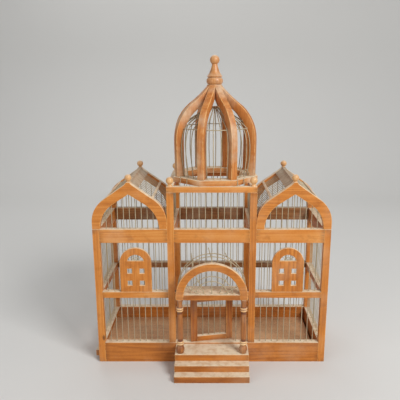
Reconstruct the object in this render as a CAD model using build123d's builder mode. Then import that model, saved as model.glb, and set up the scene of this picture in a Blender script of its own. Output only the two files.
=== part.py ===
from build123d import *
from math import acos, asin, atan2, cos, degrees, radians, sin, sqrt, tan
import os

# Wooden birdcage built like a small domed palace.
# Two wings with ogee gables stand beside a square tower that carries an onion dome of eight ribs.
# Wires fill every wall and roof, a porch with steps fronts the hinged door,
# and the floor is a tray that slides out of the left end.
# X runs to the viewer's right, Y away from the viewer and Z up.
# The origin is on the underside of the base panel, at the middle of the cage body.

# Sizes of the body
body_width = 560.0
body_depth = 216.0
tower_width = 210.0
post_side = 16.0
board_height = 52.5
lower_bay_height = 119.2
mid_rail_height = 15.5
upper_bay_height = 124.3
top_rail_height = 33.2
tower_bay_height = 88.0
cap_rail_height = 13.6

# Sizes of the wires
wire_size = 1.8
wire_pitch = 14.5
wire_seat = 5.0

# Sizes of the base and the tray
base_panel_thickness = 6.0
slide_gap = 0.3
slot_rail_height = 12.5
tray_side_gap = 1.5
tray_panel_thickness = 6.0
tray_pull_thickness = 14.0
tray_pull_height = 16.0
tray_pull_reach = 12.0
tray_end_gap = 6.0
tray_runner_width = 10.0
tray_runner_height = 8.7
tray_runner_inset = 18.0

# Sizes of the gables and the wing roofs
gable_leg_width = 18.3
gable_leg_height = 16.5
gable_shoulder_radius = 66.0
gable_slope = 35.2
gable_tip_radius = 22.0
gable_tip_half_width = 4.0
gable_tip_slope = 63.0
gable_inner_radius = 71.5
gable_inner_slope = 33.2
ridge_board_reach = 22.0
ridge_board_thickness = 5.0
roof_wire_inset = 4.0
roof_wire_steps = 2
roof_slat_width = 6.0
roof_slat_from_middle = 55.0

# Sizes of the ball finials and of the other small turned pieces
turned_sides = 12
gable_ball_radius = 8.2
tower_ball_radius = 8.75
ball_neck_radius = 4.2
ball_steps = 5
ball_last_angle = 80.0
gable_ball_neck_height = 1.6
tower_ball_neck_height = 5.5

# Sizes of the dome
dome_shift = 7.0
dome_angle = 3.5
ring_across_flats = 203.5
ring_width = 34.0
ring_thickness = 12.7
rib_count = 8
rib_thickness = 15.5
rib_width = 19.5
dome_foot_radius = 102.5
dome_belly_radius = 104.0
dome_belly_height = 88.0
dome_shoulder_radius = 103.5
dome_shoulder_angle = 54.0
dome_neck_radius = 271.0
hub_across_flats = 34.0
hub_drop = 30.0
collar_lift = 2.5
collar_radius = 19.0
collar_height = 20.6
collar_shares = ((0.8, 0.0), (0.95, 0.18), (1.0, 0.48), (0.97, 0.76), (0.84, 1.0))
bell_radius = 17.4
bell_height = 26.8
bell_shares = ((1.0, 0.04), (0.87, 0.17), (0.64, 0.47), (0.5, 0.73), (0.37, 1.0))
top_ball_radius = 10.6
top_ball_stretch_share = 1.13
top_ball_steps = 6
finial_sides = 16
dome_wire_foot_radius = 85.0
dome_wire_bends = ((92.5, 45.0), (91.5, 90.0), (50.0, 138.0))
dome_wire_near_angle = 5.5
dome_wire_far_angle = 15.7
dome_button_radius = 12.5
dome_button_level = 162.0
dome_wire_seat = 1.5
dome_button_thickness = 3.6
hoop_radius = 83.5
hoop_level = 114.0
hoop_sides = 16

# Sizes of the dummy windows
window_shift = 3.0
window_width = 75.0
window_height = 112.0
window_thickness = 7.0
window_fan_half_width = 19.8
window_fan_rise = 15.0
window_fan_sill = 79.4
pane_width = 12.2
pane_height = 12.0
pane_half_spacing = 14.8
upper_pane_level = 53.5
lower_pane_level = 22.8

# Sizes of the porch
step_count = 3
step_width = 176.0
porch_floor_height = 50.0
platform_reach = 52.0
middle_step_reach = 73.0
bottom_step_reach = 92.0
column_reach = 41.0
column_radius = 6.5
column_bulb_radius = 9.5
column_bulb_height = 20.0
column_bead_radius = 8.2
column_bead_height = 12.0
column_head_height = 18.0
arch_inner_radius = 66.0
arch_band_width = 18.0
arch_thickness = 12.0
arch_foot_height = 5.8
ceiling_thickness = 13.2
ceiling_lap = 6.0
fan_setback = 3.0
fan_outer_radius = 50.0
fan_inner_radius = 38.0
fan_ray_angle = 35.0
fan_low_ray_angle = 67.0
fan_steps = 8
vault_edge_gap = 4.0
vault_stilt = 5.6
vault_steps = 10
vault_front_gap = 1.6
vault_hoop_spacing = 21.0
vault_ray_angles = (-66.0, -34.0, 0.0, 34.0, 66.0)
vault_rod_seat = 3.0
vault_foot_seat = 2.0

# Sizes of the door
door_width = 104.0
door_thickness = 10.0
door_stile_width = 15.5
door_rail_height = 13.5
door_gap = 0.8
door_wire_count = 4
door_ajar_angle = 11.0
hinge_inset = 4.0
hinge_pin_radius = 1.5
hinge_clearance = 0.1
hinge_bore_depth = 8.0
hinge_pin_engagement = 6.0

# Levels and places that follow from the sizes
half_width = body_width / 2
half_depth = body_depth / 2
half_tower = tower_width / 2
inner_half_width = half_width - post_side
inner_half_depth = half_depth - post_side
inner_half_tower = half_tower - post_side
wall_line = half_depth - post_side / 2
side_wall_line = half_width - post_side / 2
tower_wall_line = half_tower - post_side / 2
mid_rail_level = board_height + lower_bay_height
upper_bay_level = mid_rail_level + mid_rail_height
top_rail_level = upper_bay_level + upper_bay_height
roof_level = top_rail_level + top_rail_height
cap_rail_level = roof_level + tower_bay_height
deck_level = cap_rail_level + cap_rail_height
ring_top_level = deck_level + ring_thickness
wing_centre = (half_width + half_tower) / 2
window_from_centre = (inner_half_width + half_tower) / 2 - window_shift
stand = (Align.CENTER, Align.CENTER, Align.MIN)
corner = (Align.MIN, Align.MIN, Align.MIN)


def front_plane(x, y, z):
    """A plane that faces the viewer, with its own X to the right and its own Y upwards."""
    return Plane(origin=(x, y, z), x_dir=(1, 0, 0), z_dir=(0, -1, 0))


def dome_plane(level):
    """A level plane on the dome's axis, which stands a little to the right and a little turned."""
    return Plane(origin=(dome_shift, 0, level)).rotated((0, 0, dome_angle))


def radial_plane(angle, level):
    """An upright plane through the dome's axis, with its own X pointing outwards."""
    turn = radians(angle + dome_angle)
    outwards = (cos(turn), sin(turn), 0)
    sideways = (sin(turn), -cos(turn), 0)
    return Plane(origin=(dome_shift, 0, level), x_dir=outwards, z_dir=sideways)


def bar(low, high):
    """Add a squared bar between two opposite corners to the piece in hand."""
    with Locations(low):
        Box(high[0] - low[0], high[1] - low[1], high[2] - low[2], align=corner)


def stations(low, high):
    """Evenly spaced places for wires between the two sides of an opening."""
    count = max(round((high - low) / wire_pitch) - 1, 1)
    return [low + (high - low) * (i + 1) / (count + 1) for i in range(count)]


def upright_wires(places, foot, head):
    """Add upright wires at places of the plan, pressed into the wood at both ends."""
    with BuildSketch(Plane.XY.offset(foot - wire_seat)) as plan:
        with Locations(*places):
            Rectangle(wire_size, wire_size)
    extrude(plan.sketch, amount=head - foot + 2 * wire_seat)


def rod(start, end):
    """Add a straight length of wire between two points to the piece in hand."""
    run = Vector(*end) - Vector(*start)
    with BuildSketch(Plane(origin=start, z_dir=run)) as section:
        Rectangle(wire_size, wire_size)
    extrude(section.sketch, amount=run.length)


def strip(points, half):
    """Outline of a narrow strip that follows a line of points, with mitred bends."""
    left, right = [], []
    for i, (x, y) in enumerate(points):
        before = points[max(i - 1, 0)]
        after = points[min(i + 1, len(points) - 1)]
        first = Vector(x - before[0], y - before[1]) if i else None
        second = Vector(after[0] - x, after[1] - y) if i < len(points) - 1 else None
        first = (first or second).normalized()
        second = (second or first).normalized()
        along = (first + second).normalized()
        reach = half / along.dot(first)
        left.append((x - along.Y * reach, y + along.X * reach))
        right.append((x + along.Y * reach, y - along.X * reach))
    return left + right[::-1]


def arc_points(centre, radius, start, end, steps):
    """Points along an arc, from one angle in degrees to another."""
    turns = [radians(start + (end - start) * i / steps) for i in range(steps + 1)]
    return [(centre[0] + radius * cos(a), centre[1] + radius * sin(a)) for a in turns]


# Outline of the gables, measured from the middle of a wing and from the top of the top rail
gable_half = wing_centre - half_tower
gable_inner_half = gable_half - gable_leg_width
shoulder_centre = (gable_half - gable_shoulder_radius, gable_leg_height)
shoulder_turn = 90 - gable_slope
shoulder_end = (
    shoulder_centre[0] + gable_shoulder_radius * cos(radians(shoulder_turn)),
    shoulder_centre[1] + gable_shoulder_radius * sin(radians(shoulder_turn)),
)
rise_per_run = tan(radians(gable_slope))
tip_start_u = gable_tip_half_width + gable_tip_radius * (
    sin(radians(gable_tip_slope)) - sin(radians(gable_slope))
)
tip_start = (tip_start_u, shoulder_end[1] + (shoulder_end[0] - tip_start_u) * rise_per_run)
tip_centre = (
    tip_start[0] + gable_tip_radius * sin(radians(gable_slope)),
    tip_start[1] + gable_tip_radius * cos(radians(gable_slope)),
)
tip_height = tip_centre[1] - gable_tip_radius * cos(radians(gable_tip_slope))
inner_centre_u = gable_inner_half - gable_inner_radius
inner_turn = 90 - gable_inner_slope
inner_end = (
    inner_centre_u + gable_inner_radius * cos(radians(inner_turn)),
    gable_inner_radius * sin(radians(inner_turn)),
)
inner_apex = inner_end[1] + inner_end[0] * tan(radians(gable_inner_slope))


def inner_height(u):
    """Height of the gable's opening at a distance from the middle of the wing."""
    if abs(u) < inner_end[0]:
        return inner_apex - abs(u) * tan(radians(gable_inner_slope))
    return sqrt(gable_inner_radius**2 - (abs(u) - inner_centre_u) ** 2)


def slope_height(u):
    """Height of the straight stretch of the roof at a distance from the middle of the wing."""
    return shoulder_end[1] + (shoulder_end[0] - u) * rise_per_run


def gable_outline(plane):
    """Face of one gable board, with its ogee outside and its pointed arch inside."""
    with BuildSketch(plane) as outline:
        with BuildLine():
            Line((gable_half, 0), (gable_half, gable_leg_height))
            CenterArc(shoulder_centre, gable_shoulder_radius, 0, shoulder_turn)
            Line(shoulder_end, tip_start)
            CenterArc(tip_centre, gable_tip_radius, 270 - gable_slope, gable_slope - gable_tip_slope)
            Line((gable_tip_half_width, tip_height), (0, tip_height))
            Line((0, tip_height), (0, inner_apex))
            Line((0, inner_apex), inner_end)
            CenterArc((inner_centre_u, 0), gable_inner_radius, inner_turn, -inner_turn)
            Line((gable_inner_half, 0), (gable_half, 0))
        make_face()
        mirror(about=Plane.YZ)
    return outline.sketch


def turned(places, level, rings, sides=turned_sides):
    """Add turned pieces that stand at places of the plan, from the radius and height of their rings.

    Every pair of opposite facets comes from one profile that is pushed across the piece,
    and the pushed profiles keep only what they share.
    """
    flat = cos(radians(180 / sides))
    right = [(radius * flat, height) for radius, height in rings]
    left = [(-across, height) for across, height in reversed(right)]
    reach = max(radius for radius, _ in rings)
    for i in range(sides // 2):
        turn = radians(360 * (i + 0.5) / sides)
        facing = (sin(turn), -cos(turn), 0)
        planes = [Plane(origin=(x, y, level), x_dir=(cos(turn), sin(turn), 0), z_dir=facing) for x, y in places]
        with BuildSketch(*planes) as profile:
            with BuildLine():
                Polyline(*right, *left, close=True)
            make_face()
        extrude(profile.sketch, amount=reach, both=True, mode=Mode.INTERSECT if i else Mode.ADD)


def ball_finials(places, level, ball_radius, neck_height):
    """Add balls on their necks that stand at places of the plan to the piece in hand."""
    centre = neck_height + sqrt(ball_radius**2 - ball_neck_radius**2)
    start = -degrees(acos(ball_neck_radius / ball_radius))
    ball = arc_points((0, centre), ball_radius, start, ball_last_angle, ball_steps)
    turned(places, level, [(ball_neck_radius, 0)] + ball)


# Base panel under the tray, which closes the bottom of the cage
with BuildPart() as base_panel:
    bar((-half_width, -inner_half_depth, 0), (inner_half_width, inner_half_depth, base_panel_thickness))

# Bottom boards, which stand between the corner posts
with BuildPart() as front_board:
    bar((-inner_half_width, -half_depth, 0), (inner_half_width, -inner_half_depth, board_height))
with BuildPart() as back_board:
    bar((-inner_half_width, inner_half_depth, 0), (inner_half_width, half_depth, board_height))
with BuildPart() as right_board:
    bar((inner_half_width, -inner_half_depth, 0), (half_width, inner_half_depth, board_height))

# Rail over the slot that the tray slides out of
with BuildPart() as tray_slot_rail:
    bar(
        (-half_width, -inner_half_depth, board_height - slot_rail_height),
        (-inner_half_width, inner_half_depth, board_height),
    )

# Posts
with BuildPart() as corner_posts:
    with Locations(*[(x, y) for x in (-side_wall_line, side_wall_line) for y in (-wall_line, wall_line)]):
        Box(post_side, post_side, roof_level, align=stand)
with BuildPart() as tower_posts:
    tower_feet = [(x, y) for x in (-tower_wall_line, tower_wall_line) for y in (-wall_line, wall_line)]
    with Locations(*[(x, y, board_height) for x, y in tower_feet]):
        Box(post_side, post_side, cap_rail_level - board_height, align=stand)

# Openings between the posts of the front and of the back, from left to right
bays = (
    (-inner_half_width, -half_tower),
    (-inner_half_tower, inner_half_tower),
    (half_tower, inner_half_width),
)

# Rails of the front and back walls
with BuildPart() as front_mid_rails:
    for low, high in bays:
        bar((low, -half_depth, mid_rail_level), (high, -inner_half_depth, upper_bay_level))
with BuildPart() as back_mid_rails:
    for low, high in bays:
        bar((low, inner_half_depth, mid_rail_level), (high, half_depth, upper_bay_level))
with BuildPart() as front_top_rails:
    for low, high in bays:
        bar((low, -half_depth, top_rail_level), (high, -inner_half_depth, roof_level))
with BuildPart() as back_top_rails:
    for low, high in bays:
        bar((low, inner_half_depth, top_rail_level), (high, half_depth, roof_level))

# Rails of the end walls, and those that join the tower posts from front to back
ends = ((-half_width, -inner_half_width), (inner_half_width, half_width))
tower_ends = ((-half_tower, -inner_half_tower), (inner_half_tower, half_tower))
with BuildPart() as side_mid_rails:
    for low, high in ends:
        bar((low, -inner_half_depth, mid_rail_level), (high, inner_half_depth, upper_bay_level))
with BuildPart() as side_top_rails:
    for low, high in ends:
        bar((low, -inner_half_depth, top_rail_level), (high, inner_half_depth, roof_level))
with BuildPart() as tower_side_rails:
    for low, high in tower_ends:
        bar((low, -inner_half_depth, top_rail_level), (high, inner_half_depth, roof_level))

# Cap rails that lie on the tower posts and carry the dome
with BuildPart() as tower_cap_rails:
    bar((-half_tower, -half_depth, cap_rail_level), (half_tower, -inner_half_depth, deck_level))
    bar((-half_tower, inner_half_depth, cap_rail_level), (half_tower, half_depth, deck_level))
    bar((-half_tower, -inner_half_depth, cap_rail_level), (-inner_half_tower, inner_half_depth, deck_level))
    bar((inner_half_tower, -inner_half_depth, cap_rail_level), (half_tower, inner_half_depth, deck_level))

# Gable boards
with BuildPart() as gable_front_left:
    extrude(gable_outline(front_plane(-wing_centre, -inner_half_depth, roof_level)), amount=post_side)
with BuildPart() as gable_front_right:
    extrude(gable_outline(front_plane(wing_centre, -inner_half_depth, roof_level)), amount=post_side)
with BuildPart() as gable_back_left:
    extrude(gable_outline(front_plane(-wing_centre, half_depth, roof_level)), amount=post_side)
with BuildPart() as gable_back_right:
    extrude(gable_outline(front_plane(wing_centre, half_depth, roof_level)), amount=post_side)


def ridge_outline(plane):
    """Face of the two curved boards that close the ridge of a wing, side by side."""
    edge = (ridge_board_reach, slope_height(ridge_board_reach))
    under = (
        edge[0] - ridge_board_thickness * sin(radians(gable_slope)),
        edge[1] - ridge_board_thickness * cos(radians(gable_slope)),
    )
    with BuildSketch(plane) as outline:
        with BuildLine():
            Line(edge, tip_start)
            CenterArc(tip_centre, gable_tip_radius, 270 - gable_slope, gable_slope - gable_tip_slope)
            Line((gable_tip_half_width, tip_height), (0, tip_height))
            Line((0, tip_height), (0, under[1] + under[0] * rise_per_run))
            Line((0, under[1] + under[0] * rise_per_run), under)
            Line(under, edge)
        make_face()
    return outline.sketch


# Curved boards along the two ridges
ridge_length = 2 * inner_half_depth
with BuildPart() as left_ridge_boards:
    extrude(ridge_outline(front_plane(-wing_centre, inner_half_depth, roof_level)), amount=ridge_length)
    mirror(about=Plane.YZ.offset(-wing_centre))
with BuildPart() as right_ridge_boards:
    extrude(ridge_outline(front_plane(wing_centre, inner_half_depth, roof_level)), amount=ridge_length)
    mirror(about=Plane.YZ.offset(wing_centre))

# Roof wires run down the slopes from the ridge boards to the eaves
roof_arc = arc_points(
    shoulder_centre, gable_shoulder_radius - roof_wire_inset, 0, shoulder_turn, roof_wire_steps
)
roof_head_u = ridge_board_reach - wire_seat
roof_head = (
    roof_head_u - roof_wire_inset * sin(radians(gable_slope)),
    slope_height(roof_head_u) - roof_wire_inset * cos(radians(gable_slope)),
)
outer_foot = (gable_half - roof_wire_inset, -wire_seat)
inner_foot = (gable_half + wire_seat, -2 * wire_seat)
outer_roof_line = [outer_foot] + roof_arc + [roof_head]
inner_roof_line = [inner_foot] + roof_arc + [roof_head]


def roof_wires(centre, outwards, line):
    """Add the bent wires of one roof slope to the piece in hand."""
    places = stations(-inner_half_depth, inner_half_depth)
    run = [(outwards * u, v) for u, v in line]
    with BuildSketch(*[front_plane(centre, y, roof_level) for y in places]) as outline:
        with BuildLine():
            Polyline(*strip(run, wire_size / 2), close=True)
        make_face()
    extrude(outline.sketch, amount=wire_size / 2, both=True)


with BuildPart() as left_roof_wires:
    roof_wires(-wing_centre, -1, outer_roof_line)
    roof_wires(-wing_centre, 1, inner_roof_line)
with BuildPart() as right_roof_wires:
    roof_wires(wing_centre, 1, outer_roof_line)
    roof_wires(wing_centre, -1, inner_roof_line)

# Slats that lie across the roof wires, at the foot of the straight stretch of each slope
slat_thickness = roof_wire_inset - wire_size / 2
slat_centre = (roof_slat_from_middle, slope_height(roof_slat_from_middle))


def roof_slats(centre):
    """Add the two slats of one wing to the piece in hand."""
    with BuildSketch(front_plane(centre, inner_half_depth, roof_level)) as outline:
        with Locations(Location((slat_centre[0], slat_centre[1], 0), 90 - gable_slope)):
            Rectangle(slat_thickness, roof_slat_width, align=(Align.MAX, Align.CENTER))
        mirror(about=Plane.YZ)
    extrude(outline.sketch, amount=2 * inner_half_depth)


with BuildPart() as roof_slat_bars:
    roof_slats(-wing_centre)
    roof_slats(wing_centre)

# Ball finials
with BuildPart() as gable_finials:
    gable_tips = [(x, y) for x in (-wing_centre, wing_centre) for y in (-wall_line, wall_line)]
    ball_finials(gable_tips, roof_level + tip_height, gable_ball_radius, gable_ball_neck_height)
with BuildPart() as tower_finials:
    ball_finials(tower_feet, deck_level, tower_ball_radius, tower_ball_neck_height)

# Eight-sided ring that the dome stands on
half_turn = 180 / rib_count
with BuildPart() as dome_ring:
    with BuildSketch(dome_plane(deck_level)):
        RegularPolygon(ring_across_flats / 2, rib_count, major_radius=False, rotation=half_turn)
        inner_apothem = ring_across_flats / 2 - ring_width
        RegularPolygon(inner_apothem, rib_count, major_radius=False, rotation=half_turn, mode=Mode.SUBTRACT)
    extrude(amount=ring_thickness)

# Outline of a dome rib: a slightly swelling foot, a round shoulder and a hollow neck
hub_radius = hub_across_flats / 2
belly_lean = dome_belly_radius - dome_foot_radius
foot_curve_radius = (dome_belly_height**2 + belly_lean**2) / (2 * belly_lean)
foot_curve_centre = (dome_belly_radius - foot_curve_radius, dome_belly_height)
dome_shoulder_centre = (dome_belly_radius - dome_shoulder_radius, dome_belly_height)
neck_centre = (
    dome_shoulder_centre[0] + (dome_shoulder_radius + dome_neck_radius) * cos(radians(dome_shoulder_angle)),
    dome_shoulder_centre[1] + (dome_shoulder_radius + dome_neck_radius) * sin(radians(dome_shoulder_angle)),
)


def rib_side(offset):
    """Foot angle, neck angle, foot point and neck point of one edge of a rib."""
    foot_radius = foot_curve_radius - offset
    foot_angle = degrees(asin(dome_belly_height / foot_radius))
    foot = (foot_curve_centre[0] + foot_radius * cos(radians(foot_angle)), 0)
    neck_radius = dome_neck_radius + offset
    neck_angle = degrees(acos((neck_centre[0] - hub_radius) / neck_radius))
    neck = (hub_radius, neck_centre[1] - neck_radius * sin(radians(neck_angle)))
    return foot_angle, neck_angle, foot, neck


def rib_edge(offset):
    """Add the three arcs of one edge of a rib to the line in hand."""
    foot_angle, neck_angle, _, _ = rib_side(offset)
    shoulder_end_turn = 180 + dome_shoulder_angle
    CenterArc(foot_curve_centre, foot_curve_radius - offset, -foot_angle, foot_angle)
    CenterArc(dome_shoulder_centre, dome_shoulder_radius - offset, 0, dome_shoulder_angle)
    CenterArc(neck_centre, dome_neck_radius + offset, shoulder_end_turn, neck_angle - dome_shoulder_angle)


outer_foot_point, outer_neck_point = rib_side(0)[2:]
inner_foot_point, inner_neck_point = rib_side(rib_width)[2:]
with BuildPart() as dome_ribs:
    rib_angles = [half_turn + 360 * i / rib_count for i in range(rib_count)]
    with BuildSketch(*[radial_plane(angle, ring_top_level) for angle in rib_angles]):
        with BuildLine():
            rib_edge(0)
            Line(outer_neck_point, inner_neck_point)
            rib_edge(rib_width)
            Line(inner_foot_point, outer_foot_point)
        make_face()
    extrude(amount=rib_thickness / 2, both=True)

# Eight-sided hub that the ribs meet, with the turned collar and finial above it
rib_neck_level = ring_top_level + outer_neck_point[1]
collar_level = rib_neck_level + collar_lift
with BuildPart() as dome_hub:
    hub_bottom = rib_neck_level - hub_drop
    with BuildSketch(dome_plane(hub_bottom)):
        RegularPolygon(hub_radius, rib_count, major_radius=False)
    extrude(amount=collar_level - hub_bottom)
with BuildPart() as dome_finial:
    neck_radius = bell_radius * bell_shares[-1][0]
    ball_rise = top_ball_stretch_share * sqrt(top_ball_radius**2 - neck_radius**2)
    ball_centre = collar_height + bell_height + ball_rise
    ball_start = -degrees(acos(neck_radius / top_ball_radius))
    ball = arc_points((0, 0), top_ball_radius, ball_start, ball_last_angle, top_ball_steps)
    rings = [(collar_radius * wide, collar_height * high) for wide, high in collar_shares]
    rings += [(bell_radius * wide, collar_height + bell_height * high) for wide, high in bell_shares]
    rings += [(radius, ball_centre + top_ball_stretch_share * rise) for radius, rise in ball[1:]]
    turned([(dome_shift, 0)], collar_level, rings, finial_sides)


# Wires of the dome, which swell from the ring up to the hoop and then run straight in to a small button
wire_end_radius = dome_button_radius - dome_wire_seat
dome_wire_line = [(dome_wire_foot_radius, -wire_seat), dome_wire_bends[0], dome_wire_bends[1]]
dome_wire_line += [(hoop_radius, hoop_level), dome_wire_bends[2], (wire_end_radius, dome_button_level)]
wire_offsets = (-dome_wire_far_angle, -dome_wire_near_angle, dome_wire_near_angle, dome_wire_far_angle)
wire_angles = [360 * i / rib_count + offset for i in range(rib_count) for offset in wire_offsets]
with BuildPart() as dome_wires:
    with BuildSketch(*[radial_plane(angle, ring_top_level) for angle in wire_angles]):
        with BuildLine():
            Polyline(*strip(dome_wire_line, wire_size / 2), close=True)
        make_face()
    extrude(amount=wire_size / 2, both=True)
with BuildPart() as dome_button:
    button_top = dome_button_level + dome_button_thickness / 2
    with BuildSketch(dome_plane(ring_top_level + button_top)):
        RegularPolygon(dome_button_radius, 2 * rib_count)
    extrude(amount=-dome_button_thickness)

# Round hoop that ties the dome wires together
with BuildPart() as dome_hoop:
    with BuildSketch(dome_plane(ring_top_level + hoop_level)):
        RegularPolygon(hoop_radius + 2 * wire_size, hoop_sides, major_radius=False)
        RegularPolygon(hoop_radius + wire_size, hoop_sides, major_radius=False, mode=Mode.SUBTRACT)
    extrude(amount=wire_size / 2, both=True)


def window_outline(plane):
    """Face of one dummy window board, with its fanlight and its four small panes."""
    radius = window_width / 2
    spring = window_height - radius
    with BuildSketch(plane) as outline:
        with BuildLine():
            Line((-radius, spring), (-radius, 0))
            Line((-radius, 0), (radius, 0))
            Line((radius, 0), (radius, spring))
            CenterArc((0, spring), radius, 0, 180)
        make_face()
        with BuildLine():
            Line((-window_fan_half_width, window_fan_sill), (window_fan_half_width, window_fan_sill))
            ThreePointArc(
                (window_fan_half_width, window_fan_sill),
                (0, window_fan_sill + window_fan_rise),
                (-window_fan_half_width, window_fan_sill),
            )
        make_face(mode=Mode.SUBTRACT)
        for level in (lower_pane_level, upper_pane_level):
            with Locations((-pane_half_spacing, level), (pane_half_spacing, level)):
                Rectangle(pane_width, pane_height, mode=Mode.SUBTRACT)
    return outline.sketch


# Dummy windows, which stand on the mid rails in front of the wires
window_back = -half_depth + window_thickness
with BuildPart() as left_window:
    left_face = front_plane(-window_from_centre, window_back, upper_bay_level)
    extrude(window_outline(left_face), amount=window_thickness)
with BuildPart() as right_window:
    right_face = front_plane(window_from_centre, window_back, upper_bay_level)
    extrude(window_outline(right_face), amount=window_thickness)

# Places of the wires along the walls
left_bay, centre_bay, right_bay = [stations(low, high) for low, high in bays]
depth_stations = stations(-inner_half_depth, inner_half_depth)
beside_door = [x for x in centre_bay if abs(x) > door_width / 2]

# Wires of the walls
with BuildPart() as front_wing_wires:
    upright_wires([(x, -wall_line) for x in left_bay + right_bay], board_height, top_rail_level)
with BuildPart() as front_centre_wires:
    upright_wires([(x, -wall_line) for x in centre_bay], upper_bay_level, top_rail_level)
    upright_wires([(x, -wall_line) for x in beside_door], board_height, mid_rail_level)
with BuildPart() as back_wires:
    upright_wires([(x, wall_line) for x in left_bay + centre_bay + right_bay], board_height, top_rail_level)
with BuildPart() as end_wires:
    end_places = [(x, y) for x in (-side_wall_line, side_wall_line) for y in depth_stations]
    upright_wires(end_places, board_height, top_rail_level)
with BuildPart() as tower_face_wires:
    face_places = [(x, y) for y in (-wall_line, wall_line) for x in centre_bay]
    upright_wires(face_places, roof_level, cap_rail_level)
with BuildPart() as tower_side_wires:
    side_places = [(x, y) for x in (-tower_wall_line, tower_wall_line) for y in depth_stations]
    upright_wires(side_places, roof_level, cap_rail_level)


# Wires of the gables, each as long as the arch above it
with BuildPart() as gable_wires:
    for u in stations(-gable_inner_half, gable_inner_half):
        gable_places = [(x + u, y) for x in (-wing_centre, wing_centre) for y in (-wall_line, wall_line)]
        upright_wires(gable_places, roof_level, roof_level + inner_height(u))

# Steps and platform of the porch, three boards one on the other
step_rise = porch_floor_height / step_count


def step_board(reach, foot):
    """Add one board of the porch, which runs forward from the front wall, to the piece in hand."""
    bar((-step_width / 2, -half_depth - reach, foot), (step_width / 2, -half_depth, foot + step_rise))


with BuildPart() as porch_bottom_step:
    step_board(bottom_step_reach, 0)
with BuildPart() as porch_middle_step:
    step_board(middle_step_reach, step_rise)
with BuildPart() as porch_platform:
    step_board(platform_reach, 2 * step_rise)

# Turned columns of the porch, which stand under the feet of the arch
column_line = -half_depth - column_reach
arch_outer_radius = arch_inner_radius + arch_band_width
column_place = arch_outer_radius - arch_band_width / 2
column_height = upper_bay_level - porch_floor_height
with BuildPart() as porch_columns:
    upper_bead_level = column_height - column_head_height - column_bead_height
    column_rings = [
        (column_bead_radius, 0),
        (column_bulb_radius, column_bulb_height / 2),
        (column_radius, column_bulb_height),
        (column_bead_radius, column_bulb_height + column_bead_height / 2),
        (column_radius, column_bulb_height + column_bead_height),
        (column_radius, upper_bead_level),
        (column_bead_radius, upper_bead_level + column_bead_height / 2),
        (column_radius, upper_bead_level + column_bead_height),
        (column_radius, column_height),
    ]
    column_feet = [(-column_place, column_line), (column_place, column_line)]
    turned(column_feet, porch_floor_height, column_rings)

# Ceiling of the porch: a lintel between the feet of the arch, and a board that laps the middle rail
arch_front = column_line - arch_thickness / 2
arch_back = column_line + arch_thickness / 2
ceiling_level = upper_bay_level + ceiling_thickness
arch_level = upper_bay_level + arch_foot_height
with BuildPart() as porch_ceiling:
    bar(
        (-arch_outer_radius, arch_back, upper_bay_level),
        (arch_outer_radius, -half_depth + ceiling_lap, ceiling_level),
    )
with BuildPart() as porch_lintel:
    lintel_turn = degrees(asin((ceiling_level - arch_level) / arch_inner_radius))
    lintel_half = arch_inner_radius * cos(radians(lintel_turn))
    lintel_rise = ceiling_level - arch_level
    with BuildSketch(front_plane(0, arch_back, arch_level)):
        with BuildLine():
            Line((-arch_inner_radius, 0), (-arch_inner_radius, -arch_foot_height))
            Line((-arch_inner_radius, -arch_foot_height), (arch_inner_radius, -arch_foot_height))
            Line((arch_inner_radius, -arch_foot_height), (arch_inner_radius, 0))
            CenterArc((0, 0), arch_inner_radius, 0, lintel_turn)
            Line((lintel_half, lintel_rise), (-lintel_half, lintel_rise))
            CenterArc((0, 0), arch_inner_radius, 180 - lintel_turn, lintel_turn)
        make_face()
    extrude(amount=arch_thickness)

# Round arch of the porch, which stands on the columns
with BuildPart() as porch_arch:
    with BuildSketch(front_plane(0, arch_back, arch_level)):
        with BuildLine():
            Line((arch_outer_radius, -arch_foot_height), (arch_outer_radius, 0))
            CenterArc((0, 0), arch_outer_radius, 0, 180)
            Line((-arch_outer_radius, 0), (-arch_outer_radius, -arch_foot_height))
            Line((-arch_outer_radius, -arch_foot_height), (-arch_inner_radius, -arch_foot_height))
            Line((-arch_inner_radius, -arch_foot_height), (-arch_inner_radius, 0))
            CenterArc((0, 0), arch_inner_radius, 180, -180)
            Line((arch_inner_radius, 0), (arch_inner_radius, -arch_foot_height))
            Line((arch_inner_radius, -arch_foot_height), (arch_outer_radius, -arch_foot_height))
        make_face()
    extrude(amount=arch_thickness)


def fan_point(radius, angle):
    """Point of the fanlight at an angle from the upright, measured from the arch's centre."""
    return (radius * sin(radians(angle)), radius * cos(radians(angle)))


# Fanlight of the porch, soldered from two hoops and five rays
with BuildPart() as porch_fanlight:
    fan_foot = lintel_rise - wire_size
    with BuildSketch(front_plane(0, arch_back - fan_setback, arch_level)):
        for radius in (fan_outer_radius, fan_inner_radius):
            low_angle = degrees(asin(fan_foot / radius))
            hoop = arc_points((0, 0), radius, low_angle, 180 - low_angle, fan_steps)
            with BuildLine():
                Polyline(*strip(hoop, wire_size / 2), close=True)
            make_face()
        for angle in (-fan_low_ray_angle, -fan_ray_angle, 0, fan_ray_angle, fan_low_ray_angle):
            ray_foot = fan_foot / cos(radians(angle))
            ray = [fan_point(ray_foot, angle), fan_point(arch_inner_radius + wire_size, angle)]
            with BuildLine():
                Polyline(*strip(ray, wire_size / 2), close=True)
            make_face()
    extrude(amount=wire_size / 2, both=True)

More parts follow.
